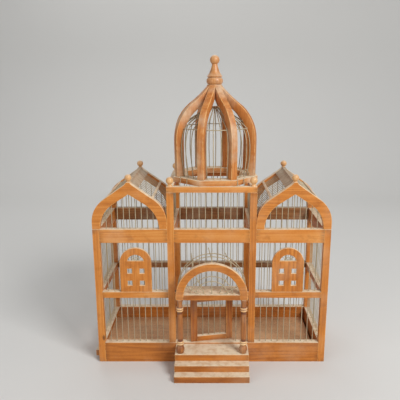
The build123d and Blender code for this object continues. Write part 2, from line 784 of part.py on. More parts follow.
# Wire vault behind the arch: two hoops that stand on the ceiling board and five rods
vault_radius = arch_outer_radius - vault_edge_gap
vault_back = -half_depth - vault_front_gap
vault_lines = (vault_back, vault_back - vault_hoop_spacing)
with BuildPart() as porch_vault:
    vault_hoop = arc_points((0, vault_stilt), vault_radius, 0, 180, vault_steps)
    vault_hoop = [(vault_radius, -vault_foot_seat)] + vault_hoop + [(-vault_radius, -vault_foot_seat)]
    with BuildSketch(*[front_plane(0, y, ceiling_level) for y in vault_lines]):
        with BuildLine():
            Polyline(*strip(vault_hoop, wire_size / 2), close=True)
        make_face()
    extrude(amount=wire_size / 2, both=True)
    for angle in vault_ray_angles:
        across, up = sin(radians(angle)), cos(radians(angle))
        rim = arch_outer_radius - vault_rod_seat
        rim_point = (rim * across, arch_back - vault_rod_seat, arch_level + rim * up)
        crown = (vault_radius * across, ceiling_level + vault_stilt + vault_radius * up)
        rod(rim_point, (crown[0], vault_lines[1], crown[1]))
        rod_end = vault_back + wire_size / 2
        rod((crown[0], vault_lines[1] - wire_size / 2, crown[1]), (crown[0], rod_end, crown[1]))

# Door, hung on two pins and standing ajar as it does on the real cage
hinge_x = -door_width / 2 + hinge_inset
door_bottom = board_height + door_gap
door_top = mid_rail_level - door_gap
door_plane = Plane(origin=(hinge_x, -wall_line, door_bottom)).rotated((0, 0, door_ajar_angle))
door_height = door_top - door_bottom
door_left = -hinge_inset
door_right = door_width - hinge_inset


def door_block(x_low, x_high, z_low, z_high):
    """Add one bar of the door, given in the door's own plane, to the piece in hand."""
    with BuildSketch(door_plane.offset(z_low)) as plan:
        with Locations((x_low, 0)):
            Rectangle(x_high - x_low, door_thickness, align=(Align.MIN, Align.CENTER))
    extrude(plan.sketch, amount=z_high - z_low)


def hinge_bore(z_low):
    """Cut one blind bore for a hinge pin from the piece in hand."""
    with BuildSketch(door_plane.offset(z_low)) as plan:
        Circle(hinge_pin_radius + hinge_clearance)
    extrude(plan.sketch, amount=hinge_bore_depth, mode=Mode.SUBTRACT)


with BuildPart() as door_hinge_stile:
    door_block(door_left, door_left + door_stile_width, 0, door_height)
    hinge_bore(0)
    hinge_bore(door_height - hinge_bore_depth)
with BuildPart() as door_free_stile:
    door_block(door_right - door_stile_width, door_right, 0, door_height)
with BuildPart() as door_rails:
    rail_low = door_left + door_stile_width
    rail_high = door_right - door_stile_width
    door_block(rail_low, rail_high, 0, door_rail_height)
    door_block(rail_low, rail_high, door_height - door_rail_height, door_height)
with BuildPart() as door_wires:
    door_wire_gap = (rail_high - rail_low) / (door_wire_count + 1)
    wire_places = [(rail_low + door_wire_gap * (i + 1), 0) for i in range(door_wire_count)]
    with BuildSketch(door_plane.offset(door_rail_height - wire_seat)):
        with Locations(*wire_places):
            Rectangle(wire_size, wire_size, rotation=door_ajar_angle)
    extrude(amount=door_height - 2 * door_rail_height + 2 * wire_seat)
with BuildPart() as door_pins:
    pin_length = 2 * hinge_pin_engagement + door_gap
    with Locations(
        (hinge_x, -wall_line, board_height - hinge_pin_engagement),
        (hinge_x, -wall_line, mid_rail_level + hinge_pin_engagement - pin_length),
    ):
        Cylinder(hinge_pin_radius, pin_length, align=stand)

# Tray: a floor panel on two runners, with a pull strip at its left end
tray_bottom = base_panel_thickness + slide_gap
tray_half_depth = inner_half_depth - tray_side_gap
tray_left = -half_width - tray_pull_reach
tray_panel_left = tray_left + tray_pull_thickness
tray_right = inner_half_width - tray_end_gap
panel_bottom = tray_bottom + tray_runner_height
with BuildPart() as tray_pull:
    pull_top = tray_bottom + tray_pull_height
    bar((tray_left, -tray_half_depth, tray_bottom), (tray_panel_left, tray_half_depth, pull_top))
with BuildPart() as tray_panel:
    panel_top = panel_bottom + tray_panel_thickness
    bar((tray_panel_left, -tray_half_depth, panel_bottom), (tray_right, tray_half_depth, panel_top))
with BuildPart() as tray_runners:
    runner_edge = tray_half_depth - tray_runner_inset
    for low in (-runner_edge, runner_edge - tray_runner_width):
        bar((tray_panel_left, low, tray_bottom), (tray_right, low + tray_runner_width, panel_bottom))

# Labels and files, one for each piece
pieces = {
    "base_panel": base_panel,
    "front_board": front_board,
    "back_board": back_board,
    "right_board": right_board,
    "tray_slot_rail": tray_slot_rail,
    "corner_posts": corner_posts,
    "tower_posts": tower_posts,
    "front_mid_rails": front_mid_rails,
    "back_mid_rails": back_mid_rails,
    "front_top_rails": front_top_rails,
    "back_top_rails": back_top_rails,
    "side_mid_rails": side_mid_rails,
    "side_top_rails": side_top_rails,
    "tower_side_rails": tower_side_rails,
    "tower_cap_rails": tower_cap_rails,
    "gable_front_left": gable_front_left,
    "gable_front_right": gable_front_right,
    "gable_back_left": gable_back_left,
    "gable_back_right": gable_back_right,
    "left_ridge_boards": left_ridge_boards,
    "right_ridge_boards": right_ridge_boards,
    "left_roof_wires": left_roof_wires,
    "right_roof_wires": right_roof_wires,
    "roof_slats": roof_slat_bars,
    "gable_finials": gable_finials,
    "tower_finials": tower_finials,
    "dome_ring": dome_ring,
    "dome_ribs": dome_ribs,
    "dome_hub": dome_hub,
    "dome_finial": dome_finial,
    "dome_wires": dome_wires,
    "dome_button": dome_button,
    "dome_hoop": dome_hoop,
    "left_window": left_window,
    "right_window": right_window,
    "front_wing_wires": front_wing_wires,
    "front_centre_wires": front_centre_wires,
    "back_wires": back_wires,
    "end_wires": end_wires,
    "tower_face_wires": tower_face_wires,
    "tower_side_wires": tower_side_wires,
    "gable_wires": gable_wires,
    "porch_bottom_step": porch_bottom_step,
    "porch_middle_step": porch_middle_step,
    "porch_platform": porch_platform,
    "porch_columns": porch_columns,
    "porch_ceiling": porch_ceiling,
    "porch_lintel": porch_lintel,
    "porch_arch": porch_arch,
    "porch_fanlight": porch_fanlight,
    "porch_vault": porch_vault,
    "door_hinge_stile": door_hinge_stile,
    "door_free_stile": door_free_stile,
    "door_rails": door_rails,
    "door_wires": door_wires,
    "door_pins": door_pins,
    "tray_pull": tray_pull,
    "tray_panel": tray_panel,
    "tray_runners": tray_runners,
}
os.makedirs("parts", exist_ok=True)
for name, piece in pieces.items():
    piece.part.label = name
    export_step(piece.part, f"parts/{name}.step")
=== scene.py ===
"""Looks of a wooden birdcage that is built like a small domed palace.

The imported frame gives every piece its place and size. This script dresses each one: it rounds the
edges of the boards, turns the balls, columns and finial, draws the wires as round wire, and
stains, dusts and wears the wood. X runs to the viewer's right, Y away from the viewer and Z up.
Lengths are in metres. Only the tables of profiles, columns and loose rods hold millimetres.
"""

import logging
import math
import random
from dataclasses import dataclass, replace
from enum import Enum
from typing import Any, Iterable, Sequence

import bmesh
import bpy
from mathutils import Matrix, Vector


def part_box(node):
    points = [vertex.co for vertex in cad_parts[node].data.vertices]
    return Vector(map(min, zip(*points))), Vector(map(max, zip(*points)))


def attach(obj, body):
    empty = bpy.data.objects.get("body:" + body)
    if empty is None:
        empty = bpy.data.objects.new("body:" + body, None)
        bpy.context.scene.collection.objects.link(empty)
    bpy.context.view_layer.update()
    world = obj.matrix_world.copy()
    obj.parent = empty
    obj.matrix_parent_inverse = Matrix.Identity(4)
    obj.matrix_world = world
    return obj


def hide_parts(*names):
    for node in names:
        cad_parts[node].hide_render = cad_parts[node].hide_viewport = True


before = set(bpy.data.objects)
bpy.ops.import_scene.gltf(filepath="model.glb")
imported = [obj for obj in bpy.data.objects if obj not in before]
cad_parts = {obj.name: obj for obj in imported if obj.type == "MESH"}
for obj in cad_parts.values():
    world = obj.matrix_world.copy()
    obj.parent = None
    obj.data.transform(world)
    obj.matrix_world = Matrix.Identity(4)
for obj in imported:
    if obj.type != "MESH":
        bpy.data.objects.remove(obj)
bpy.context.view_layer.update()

log = logging.getLogger("birdcage")
Socket, Material, Piece = bpy.types.NodeSocket, bpy.types.Material, bpy.types.Object
Mesh, Shape = bpy.types.Mesh, bmesh.types.BMesh
Corner, Face = bmesh.types.BMVert, bmesh.types.BMFace
Colour = tuple[float, float, float]
Point = tuple[float, float, float]
Pair = tuple[float, float]
Profile = tuple[Pair, ...]
Patches = tuple[float, float, float, float]
Inputs = dict[str | int, Any]
SMOOTH = {"interpolation_type": "SMOOTHSTEP"}
MM = 0.001
WIRE_RADIUS = 0.9 * MM


class Body(Enum):
    """Bodies of the frame that a piece can ride on."""

    CAGE = "root"
    DOOR = "door"
    TRAY = "tray"


class Slot(Enum):
    """Material slots of the record."""

    FRAME = "frame_wood"
    DOME = "dome_wood"
    TURNED = "turned_wood"
    PANEL = "panel_wood"
    WIRE = "wire"
    PIN = "pin"


class Grain(Enum):
    """Directions that the grain of a board can run in."""

    LONGEST = None
    ACROSS = (1.0, 0.0, 0.0)
    UPRIGHT = (0.0, 0.0, 1.0)
    DEEP = (0.0, 1.0, 0.0)


def srgb(red: int, green: int, blue: int) -> Colour:
    """Turn a colour in steps from 0 to 255 into the linear values that a shader uses."""
    shares = (red / 255, green / 255, blue / 255)
    return tuple(s / 12.92 if s < 0.04045 else ((s + 0.055) / 1.055) ** 2.4 for s in shares)


class Value:
    """An output socket whose operators add Math nodes to its tree."""

    def __init__(self, graph: "Graph", socket: Socket) -> None:
        """Wrap one output socket of a graph."""
        self.graph = graph
        self.socket = socket

    def __add__(self, other: "Value | float") -> "Value":
        """Add a value or a number."""
        return self.graph.math("ADD", self, other)

    __radd__ = __add__

    def __sub__(self, other: "Value | float") -> "Value":
        """Subtract a value or a number."""
        return self.graph.math("SUBTRACT", self, other)

    def __rsub__(self, other: float) -> "Value":
        """Subtract this value from a number."""
        return self.graph.math("SUBTRACT", other, self)

    def __mul__(self, other: "Value | float") -> "Value":
        """Multiply by a value or a number."""
        return self.graph.math("MULTIPLY", self, other)

    __rmul__ = __mul__


class Graph:
    """A node tree that is built from Python expressions."""

    def __init__(self, tree: bpy.types.NodeTree) -> None:
        """Wrap a tree, emptied of its default nodes."""
        tree.nodes.clear()
        self.tree = tree

    def node(
        self, kind: str, settings: Inputs | None = None, inputs: Inputs | None = None,
        output: str | int = 0,
    ) -> Value:
        """Add one node, set its settings, then feed its sockets.

        Args:
            kind: Type of the node.
            settings: Properties of the node; "stops" holds the places and colours of a ramp.
            inputs: Values or links by the identifier, name or number of the socket.
            output: Identifier, name or number of the socket to hand back.

        Returns:
            The output asked for, or the node's first input where it has no output.
        """
        node = self.tree.nodes.new(kind)
        for name, setting in (settings or {}).items():
            if name == "stops":
                self._stops(node.color_ramp, setting)
            else:
                setattr(node, name, setting)
        for name, value in (inputs or {}).items():
            self._feed(self._socket(node.inputs, name), value)
        found = self._socket(node.outputs, output) if len(node.outputs) else node.inputs[0]
        return Value(self, found)

    def math(self, operation: str, first: Value | float, second: Value | float) -> Value:
        """Add a Math node for two values."""
        return self.node("ShaderNodeMath", {"operation": operation}, {0: first, 1: second})

    def vector(self, operation: str, inputs: Inputs, output: str | int = 0) -> Value:
        """Add a Vector Math node."""
        return self.node("ShaderNodeVectorMath", {"operation": operation}, inputs, output)

    def part(self, vector: Value, axis: str) -> Value:
        """One coordinate of a vector."""
        return self.node("ShaderNodeSeparateXYZ", {}, {0: vector}, axis)

    def step(self, value: Value, low: float, high: float) -> Value:
        """Rise smoothly from 0 at a low value to 1 at a high one."""
        inputs = {"Value": value, "From Min": low, "From Max": high}
        return self.node("ShaderNodeMapRange", SMOOTH, inputs, "Result")

    def noise(self, place: Value, scale: float | Point, detail: float) -> Value:
        """Add smooth noise.

        Args:
            place: Place that the noise is read at.
            scale: One scale, or one for each axis.
            detail: How fine its finest layer is.

        Returns:
            The noise, from 0 to 1.
        """
        if isinstance(scale, tuple):
            place, scale = self.vector("MULTIPLY", {0: place, 1: scale}), 1.0
        inputs = {"Vector": place, "Scale": scale, "Detail": detail}
        return self.node("ShaderNodeTexNoise", {}, inputs, "Fac")

    def patches(self, place: Value, pattern: Patches) -> Value:
        """Patches with soft edges, from their scale, detail, lowest and highest noise."""
        scale, detail, low, high = pattern
        return self.step(self.noise(place, scale, detail), low, high)

    def blend(self, share: Value, first: Value | Colour, second: Value | Colour) -> Value:
        """Mix two colours, from the first at 0 to the second at 1."""
        inputs = {"Factor_Float": share, "A_Color": first, "B_Color": second}
        return self.node("ShaderNodeMix", {"data_type": "RGBA"}, inputs, "Result_Color")

    def attribute(self, name: str, output: str = "Fac") -> Value:
        """Read an attribute of the mesh."""
        return self.node("ShaderNodeAttribute", {"attribute_name": name}, {}, output)

    def place(self) -> Value:
        """Place on the object, in metres."""
        return self.node("ShaderNodeTexCoord", {}, {}, "Object")

    def bump(self, height: Value, strength: float, distance: float) -> Value:
        """Normal of a surface with a relief."""
        inputs = {"Strength": strength, "Distance": distance, "Height": height}
        return self.node("ShaderNodeBump", {}, inputs)

    def surface(self, inputs: Inputs) -> None:
        """End a material's tree with its shader."""
        shader = self.node("ShaderNodeBsdfPrincipled", {}, inputs)
        self.node("ShaderNodeOutputMaterial", {}, {"Surface": shader})

    @staticmethod
    def _socket(sockets: Any, name: str | int) -> Socket:
        """Find a socket by number, identifier or name."""
        named = {socket.identifier: socket for socket in sockets}
        return named.get(name) or sockets[name]

    def _feed(self, socket: Socket, value: Any) -> None:
        """Link a value to a socket, or write a constant into it.

        Args:
            socket: Input socket.
            value: Value, number, colour, vector or other constant.
        """
        if isinstance(value, Value):
            self.tree.links.new(value.socket, socket)
        elif socket.type == "RGBA" and len(value) == 3:
            socket.default_value = (*value, 1.0)
        else:
            socket.default_value = value

    @staticmethod
    def _stops(ramp: bpy.types.ColorRamp, stops: Sequence[tuple[float, Colour]]) -> None:
        """Write the places and colours of a ramp.

        Args:
            ramp: Ramp to fill.
            stops: Place and colour of each stop.
        """
        while len(ramp.elements) < len(stops):
            ramp.elements.new(1.0)
        for element, (place, colour) in zip(ramp.elements, stops):
            element.position = place
            element.color = (*colour, 1.0)


def new_surface(name: str) -> tuple[Material, Graph]:
    """Make an empty node material.

    Args:
        name: Name of the material.

    Returns:
        The material and the graph that fills it.
    """
    material = bpy.data.materials.new(name)
    material.use_nodes = True
    return material, Graph(material.node_tree)


@dataclass(frozen=True)
class WoodFinish:
    """Stained and varnished softwood, aged and dusty, darker at the ends of boards by dirt and
    painted shade.
    """

    name: str
    deep: Colour
    body: Colour
    pale: Colour
    stain_stops: tuple[float, float, float] = (0.18, 0.5, 0.86)
    figure_scale: Point = (1.8, 30.0, 30.0)
    ring_count: float = 9.0
    ring_share: float = 0.12
    streak_scale: Point = (6.0, 260.0, 260.0)
    streak_share: float = 0.32
    fibre_scale: Point = (30.0, 900.0, 900.0)
    fibre_share: float = 0.16
    board_shift: Point = (3.7, 5.3, 7.9)
    cloud_scale: float = 11.0
    tone_spread: float = 0.30
    darkest: float = 0.05
    speck_scale: float = 300.0
    speckle: float = 0.12
    edge_wear: Patches = (120.0, 2.0, 0.32, 0.58)
    edge_wear_share: float = 0.8
    blotches: Patches = (38.0, 3.0, 0.54, 0.72)
    blotch_share: float = 0.34
    # Dirt and painted shade at the ends of boards, where they meet other parts.
    grime_and_shade: Colour = srgb(104, 58, 26)
    grime_and_shade_share: float = 0.55
    grime_and_shade_edge: Pair = (0.25, 0.75)
    grime_and_shade_blotches: float = 0.4
    grime_and_shade_reach: float = 14.0 * MM
    knots: tuple[Point, ...] = ()
    knot_radius: float = 4.2 * MM
    knot_shape: Point = (1.0, 1.0, 0.5)
    knot_ripple: float = 2.0 * MM
    knot_colour: Colour = srgb(84, 42, 20)
    knot_share: float = 0.8
    dust: Colour = srgb(226, 210, 182)
    old_dust: Colour = srgb(198, 166, 128)
    old_dust_patches: Patches = (85.0, 3.0, 0.42, 0.68)
    old_dust_share: float = 0.6
    dust_share: float = 0.95
    dust_slopes: Pair = (0.12, 0.80)
    film_scale: float = 52.0
    film_shares: Pair = (0.45, 0.2)
    thinnest_film: float = 0.62
    wash: Patches = (13.0, 4.0, 0.44, 0.70)
    wash_share: float = 0.12
    relief_shares: Point = (0.5, 0.35, 0.25)
    relief_strength: float = 0.35
    relief_height: float = 0.6 * MM
    roughness: float = 0.46
    streak_roughness: float = 0.16
    dust_roughness: float = 0.4
    coat: float = 0.08
    coat_roughness: float = 0.35
    specular: float = 0.35

    def material(self) -> Material:
        """Build the material.

        Returns:
            The finished material.
        """
        material, graph = new_surface(self.name)
        place = graph.place()
        board = graph.attribute("board")
        shift = graph.vector("SCALE", {0: self.board_shift, "Scale": board})
        grain = graph.vector("ADD", {0: graph.attribute("grain", "Vector"), 1: shift})

        figure = graph.noise(grain, self.figure_scale, detail=1.0)
        rings = graph.math("PINGPONG", figure * self.ring_count, 0.5) * 2.0
        streaks = graph.noise(grain, self.streak_scale, detail=3.0)
        fibres = graph.noise(grain, self.fibre_scale, detail=2.0)
        tone = graph.noise(place, self.cloud_scale, detail=2.0) * 0.5 + board * 0.5
        figured = rings * self.ring_share + streaks * self.streak_share
        figured = figured + fibres * self.fibre_share + self.darkest
        specks = (graph.noise(place, self.speck_scale, detail=2.0) - 0.5) * self.speckle
        # Each piece's own lightness: the wood's colour, and on some pieces painted shade or a
        # painted highlight.
        lightness = figured + specks + tone * self.tone_spread + graph.attribute("stain")
        stops = list(zip(self.stain_stops, (self.deep, self.body, self.pale)))
        stain = graph.node("ShaderNodeValToRGB", {"stops": stops}, {"Fac": lightness}, "Color")

        wear = graph.attribute("edge") * graph.patches(place, self.edge_wear)
        worn = graph.blend(wear * self.edge_wear_share, stain, self.pale)
        blotches = graph.patches(place, self.blotches)
        blotched = graph.blend(blotches * self.blotch_share, worn, self.deep)
        # Darker near each board's end: dirt, and painted shade where the board meets the next part.
        grime_and_shade_mask = graph.step(blotches * self.grime_and_shade_blotches + streaks, *self.grime_and_shade_edge)
        grime_and_shade_mask = self._near_end(graph) * (grime_and_shade_mask * self.grime_and_shade_share)
        stained = graph.blend(grime_and_shade_mask, blotched, self.grime_and_shade)
        for knot in self.knots:
            offset = graph.vector("SUBTRACT", {0: place, 1: knot})
            offset = graph.vector("MULTIPLY", {0: offset, 1: self.knot_shape})
            away = graph.vector("LENGTH", {0: offset}, "Value") + streaks * self.knot_ripple
            spot = 1.0 - graph.step(away, 0.5 * self.knot_radius, 1.5 * self.knot_radius)
            stained = graph.blend(spot * self.knot_share, stained, self.knot_colour)

        upward = graph.part(graph.node("ShaderNodeNewGeometry", {}, {}, "Normal"), "Z")
        coarse, fine = self.film_shares
        film = graph.noise(place, self.film_scale, detail=3.0) * coarse + fibres * fine
        film = film + self.thinnest_film
        lying = graph.step(upward, *self.dust_slopes) * film * self.dust_share
        # Pale patches of dust; on the dome these partly stand in for a painted highlight.
        dust_wash_and_highlight = graph.patches(place, self.wash) * self.wash_share
        dust_and_highlight = graph.math("MINIMUM", lying + dust_wash_and_highlight, 1.0)
        aged = graph.patches(place, self.old_dust_patches) * self.old_dust_share
        waves = [wave * share for wave, share in zip((streaks, fibres, rings), self.relief_shares)]
        relief = waves[0] + waves[1] + waves[2]
        gloss = streaks * self.streak_roughness
        graph.surface({
            "Base Color": graph.blend(dust_and_highlight, stained, graph.blend(aged, self.dust, self.old_dust)),
            "Roughness": dust_and_highlight * self.dust_roughness + gloss + self.roughness,
            "Coat Weight": self.coat,
            "Coat Roughness": self.coat_roughness,
            "Specular IOR Level": self.specular,
            "Normal": graph.bump(relief, self.relief_strength, self.relief_height),
        })
        return material

    def _near_end(self, graph: Graph) -> Value:
        """Nearness to an end of the board: 1 at the end and 0 from the reach of the dirt and
        painted shade on.

        Args:
            graph: Graph of the material.

        Returns:
            The nearness.
        """
        along = graph.part(graph.attribute("grain", "Vector"), "X")
        ends = graph.attribute("ends", "Vector")
        away = graph.math("MINIMUM", along - graph.part(ends, "X"), graph.part(ends, "Y") - along)
        return 1.0 - graph.step(away, 0.0, self.grime_and_shade_reach)


@dataclass(frozen=True)
class WireFinish:
    """Dull drawn wire, dusty and with a little rust."""

    name: str
    clean: Colour
    dull: Colour
    rust: Colour
    patch_scale: float = 70.0
    speck_scale: float = 420.0
    rust_shares: Pair = (0.6, 0.4)
    rust_edge: Pair = (0.56, 0.68)
    rust_share: float = 0.35
    metallic: float = 0.3
    roughness: float = 0.42
    speck_roughness: float = 0.25
    rust_roughness: float = 0.3
    relief_strength: float = 0.3
    relief_height: float = 0.2 * MM

    def material(self) -> Material:
        """Build the material.

        Returns:
            The finished material.
        """
        material, graph = new_surface(self.name)
        place = graph.place()
        patches = graph.noise(place, self.patch_scale, detail=3.0)
        specks = graph.noise(place, self.speck_scale, detail=2.0)
        coarse, fine = self.rust_shares
        rust = graph.step(patches * coarse + specks * fine, *self.rust_edge) * self.rust_share
        dulled = specks * self.speck_roughness + rust * self.rust_roughness
        graph.surface({
            "Base Color": graph.blend(rust, graph.blend(patches, self.clean, self.dull), self.rust),
            "Metallic": (1.0 - rust) * self.metallic,
            "Roughness": dulled + self.roughness,
            "Normal": graph.bump(specks, self.relief_strength, self.relief_height),
        })
        return material


class GeometryTree:
    """A Geometry Nodes tree with named inputs, ended by Realize Instances and Set Material."""

    def __init__(self, name: str, inputs: dict[str, str]) -> None:
        """Start a tree.

        Args:
            name: Name of the tree.
            inputs: Kind of socket of each named input besides the geometry and the finish.
        """
        self.tree = bpy.data.node_groups.new(name, "GeometryNodeTree")
        self.graph = Graph(self.tree)
        face = self.tree.interface
        face.new_socket("Geometry", in_out="INPUT", socket_type="NodeSocketGeometry")
        self.keys: dict[str, str] = {}
        for label, kind in (inputs | {"Finish": "Material"}).items():
            socket = face.new_socket(label, in_out="INPUT", socket_type=f"NodeSocket{kind}")
            self.keys[label] = socket.identifier
        face.new_socket("Geometry", in_out="OUTPUT", socket_type="NodeSocketGeometry")
        self._source = self.tree.nodes.new("NodeGroupInput")

    def input(self, label: str) -> Value:
        """The value of one named input."""
        return Value(self.graph, self._source.outputs[label])

    def close(self, geometry: Value) -> None:
        """End the tree with its geometry made real and finished.

        Args:
            geometry: What the tree has made so far.
        """
        real = self.graph.node("GeometryNodeRealizeInstances", {}, {"Geometry": geometry})
        inputs = {"Geometry": real, "Material": self.input("Finish")}
        finished = self.graph.node("GeometryNodeSetMaterial", {}, inputs)
        sink = self.tree.nodes.new("NodeGroupOutput")
        self.tree.links.new(finished.socket, sink.inputs["Geometry"])

    def apply(self, piece: Piece, values: dict[str, Any]) -> Piece:
        """Run the tree on an object and keep the result as a plain mesh.

        Args:
            piece: Object whose mesh goes into the tree.
            values: Value of each named input.

        Returns:
            The same object, with its new mesh and no modifier.
        """
        modifier = piece.modifiers.new(self.tree.name, "NODES")
        modifier.node_group = self.tree
        for label, value in values.items():
            modifier[self.keys[label]] = value
        scene_graph = bpy.context.evaluated_depsgraph_get()
        result = piece.evaluated_get(scene_graph)
        mesh = bpy.data.meshes.new_from_object(result, depsgraph=scene_graph)
        piece.modifiers.remove(modifier)
        piece.data = mesh
        mesh.name = piece.name
        return piece


class WireTree(GeometryTree):
    """Turns lines of points into round wire that bends a little, as hand-drawn wire does."""

    sides: int = 8
    bend_scale: float = 34.0
    bend_gain: float = 4.0

    def __init__(self) -> None:
        """Build the tree, in which the ends of each wire stay where they are."""
        sizes = {"Radius": "Float", "Spacing": "Float", "Waviness": "Float", "Seed": "Float"}
        super().__init__("round_wire", sizes)
        graph = self.graph
        line = graph.node("GeometryNodeMeshToCurve", {}, {"Mesh": self.input("Geometry")})
        inputs = {"Curve": line, "Length": self.input("Spacing")}
        line = graph.node("GeometryNodeResampleCurve", {"mode": "LENGTH"}, inputs)
        share = graph.node("GeometryNodeSplineParameter", {}, {}, "Factor")
        free = share * (1.0 - share) * 4.0
        place = graph.node("GeometryNodeInputPosition")
        inputs = {"Vector": place, "W": self.input("Seed"), "Scale": self.bend_scale, "Detail": 1.0}
        noise = graph.node("ShaderNodeTexNoise", {"noise_dimensions": "4D"}, inputs, "Color")
        centred = graph.vector("SUBTRACT", {0: noise, 1: (0.5, 0.5, 0.5)})
        reach = free * self.input("Waviness") * self.bend_gain
        offset = graph.vector("SCALE", {0: centred, "Scale": reach})
        line = graph.node("GeometryNodeSetPosition", {}, {"Geometry": line, "Offset": offset})
        inputs = {"Resolution": self.sides, "Radius": self.input("Radius")}
        section = graph.node("GeometryNodeCurvePrimitiveCircle", {"mode": "RADIUS"}, inputs)
        inputs = {"Curve": line, "Profile Curve": section, "Fill Caps": True}
        wire = graph.node("GeometryNodeCurveToMesh", {}, inputs)
        inputs = {"Geometry": wire, "Shade Smooth": True}
        self.close(graph.node("GeometryNodeSetShadeSmooth", {}, inputs))


class CopyTree(GeometryTree):
    """Sets a copy of a shape on each point, turned by the point's own attribute."""

    def __init__(self) -> None:
        """Build the tree, which tells the copies apart by a chance called "board"."""
        super().__init__("copies", {"Shape": "Object", "Seed": "Int"})
        graph = self.graph
        shape = {"Object": self.input("Shape")}
        shape = graph.node("GeometryNodeObjectInfo", {}, shape, "Geometry")
        number = {"data_type": "FLOAT"}
        turn = {"Name": "turn"}
        turn = graph.node("GeometryNodeInputNamedAttribute", number, turn, "Attribute")
        rotation = graph.node("ShaderNodeCombineXYZ", {}, {"Z": turn})
        inputs = {"Points": self.input("Geometry"), "Instance": shape, "Rotation": rotation}
        copies = graph.node("GeometryNodeInstanceOnPoints", {}, inputs)
        chance = graph.node("FunctionNodeRandomValue", number, {"Seed": self.input("Seed")}, 1)
        inputs = {"Geometry": copies, "Name": "board", "Value": chance}
        settings = number | {"domain": "INSTANCE"}
        self.close(graph.node("GeometryNodeStoreNamedAttribute", settings, inputs))


def link(name: str, data: bpy.types.ID) -> Piece:
    """Put a mesh, a lamp or a camera into the scene as an object at the origin.

    Args:
        name: Name of the object.
        data: What the object shows.

    Returns:
        The object.
    """
    piece = bpy.data.objects.new(name, data)
    bpy.context.scene.collection.objects.link(piece)
    return piece


def islands(shape: Shape) -> list[list[Corner]]:
    """Sort the corners of a shape into the loose pieces that they belong to.

    Args:
        shape: Shape of one or more loose pieces.

    Returns:
        One list of corners for each piece.
    """
    found, seen = [], set()
    for start in shape.verts:
        if start in seen:
            continue
        group, queue = [], [start]
        seen.add(start)
        while queue:
            corner = queue.pop()
            group.append(corner)
            for edge in corner.link_edges:
                other = edge.other_vert(corner)
                if other not in seen:
                    seen.add(other)
                    queue.append(other)
        found.append(group)
    return found


def node_shape(node: str) -> Shape:
    """Copy the shape of a frame node, with its loose triangles merged into whole faces.

    Args:
        node: Name of the node.

    Returns:
        The copy, which can be changed.
    """
    same_place, same_plane = 0.002 * MM, math.radians(0.4)
    shape = bmesh.new()
    shape.from_mesh(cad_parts[node].data)
    bmesh.ops.remove_doubles(shape, verts=shape.verts, dist=same_place)
    bmesh.ops.dissolve_limit(shape, angle_limit=same_plane, verts=shape.verts, edges=shape.edges)
    return shape


def node_boxes(node: str) -> list[tuple[Vector, Vector]]:
    """Find the box of each loose piece of a frame node.

    Args:
        node: Name of the node.

    Returns:
        Lowest and highest corner of each piece, from the front to the back.
    """
    shape = node_shape(node)
    boxes = []
    for group in islands(shape):
        ways = [sorted(corner.co[i] for corner in group) for i in range(3)]
        boxes.append(tuple(Vector([way[end] for way in ways]) for end in (0, -1)))
    shape.free()
    return sorted(boxes, key=lambda box: tuple(round(box[0][i], 4) for i in (1, 0, 2)))


def close_shape(shape: Shape, name: str, smooth_below: float) -> Mesh:
    """Turn a shape into a mesh that is smooth but for its sharp edges.

    Args:
        shape: Shape to close, which is freed.
        name: Name of the mesh.
        smooth_below: Angle in degrees from which an edge is sharp.

    Returns:
        The mesh.
    """
    mesh = bpy.data.meshes.new(name)
    shape.to_mesh(mesh)
    shape.free()
    mesh.shade_smooth()
    mesh.set_sharp_from_angle(angle=math.radians(smooth_below))
    return mesh


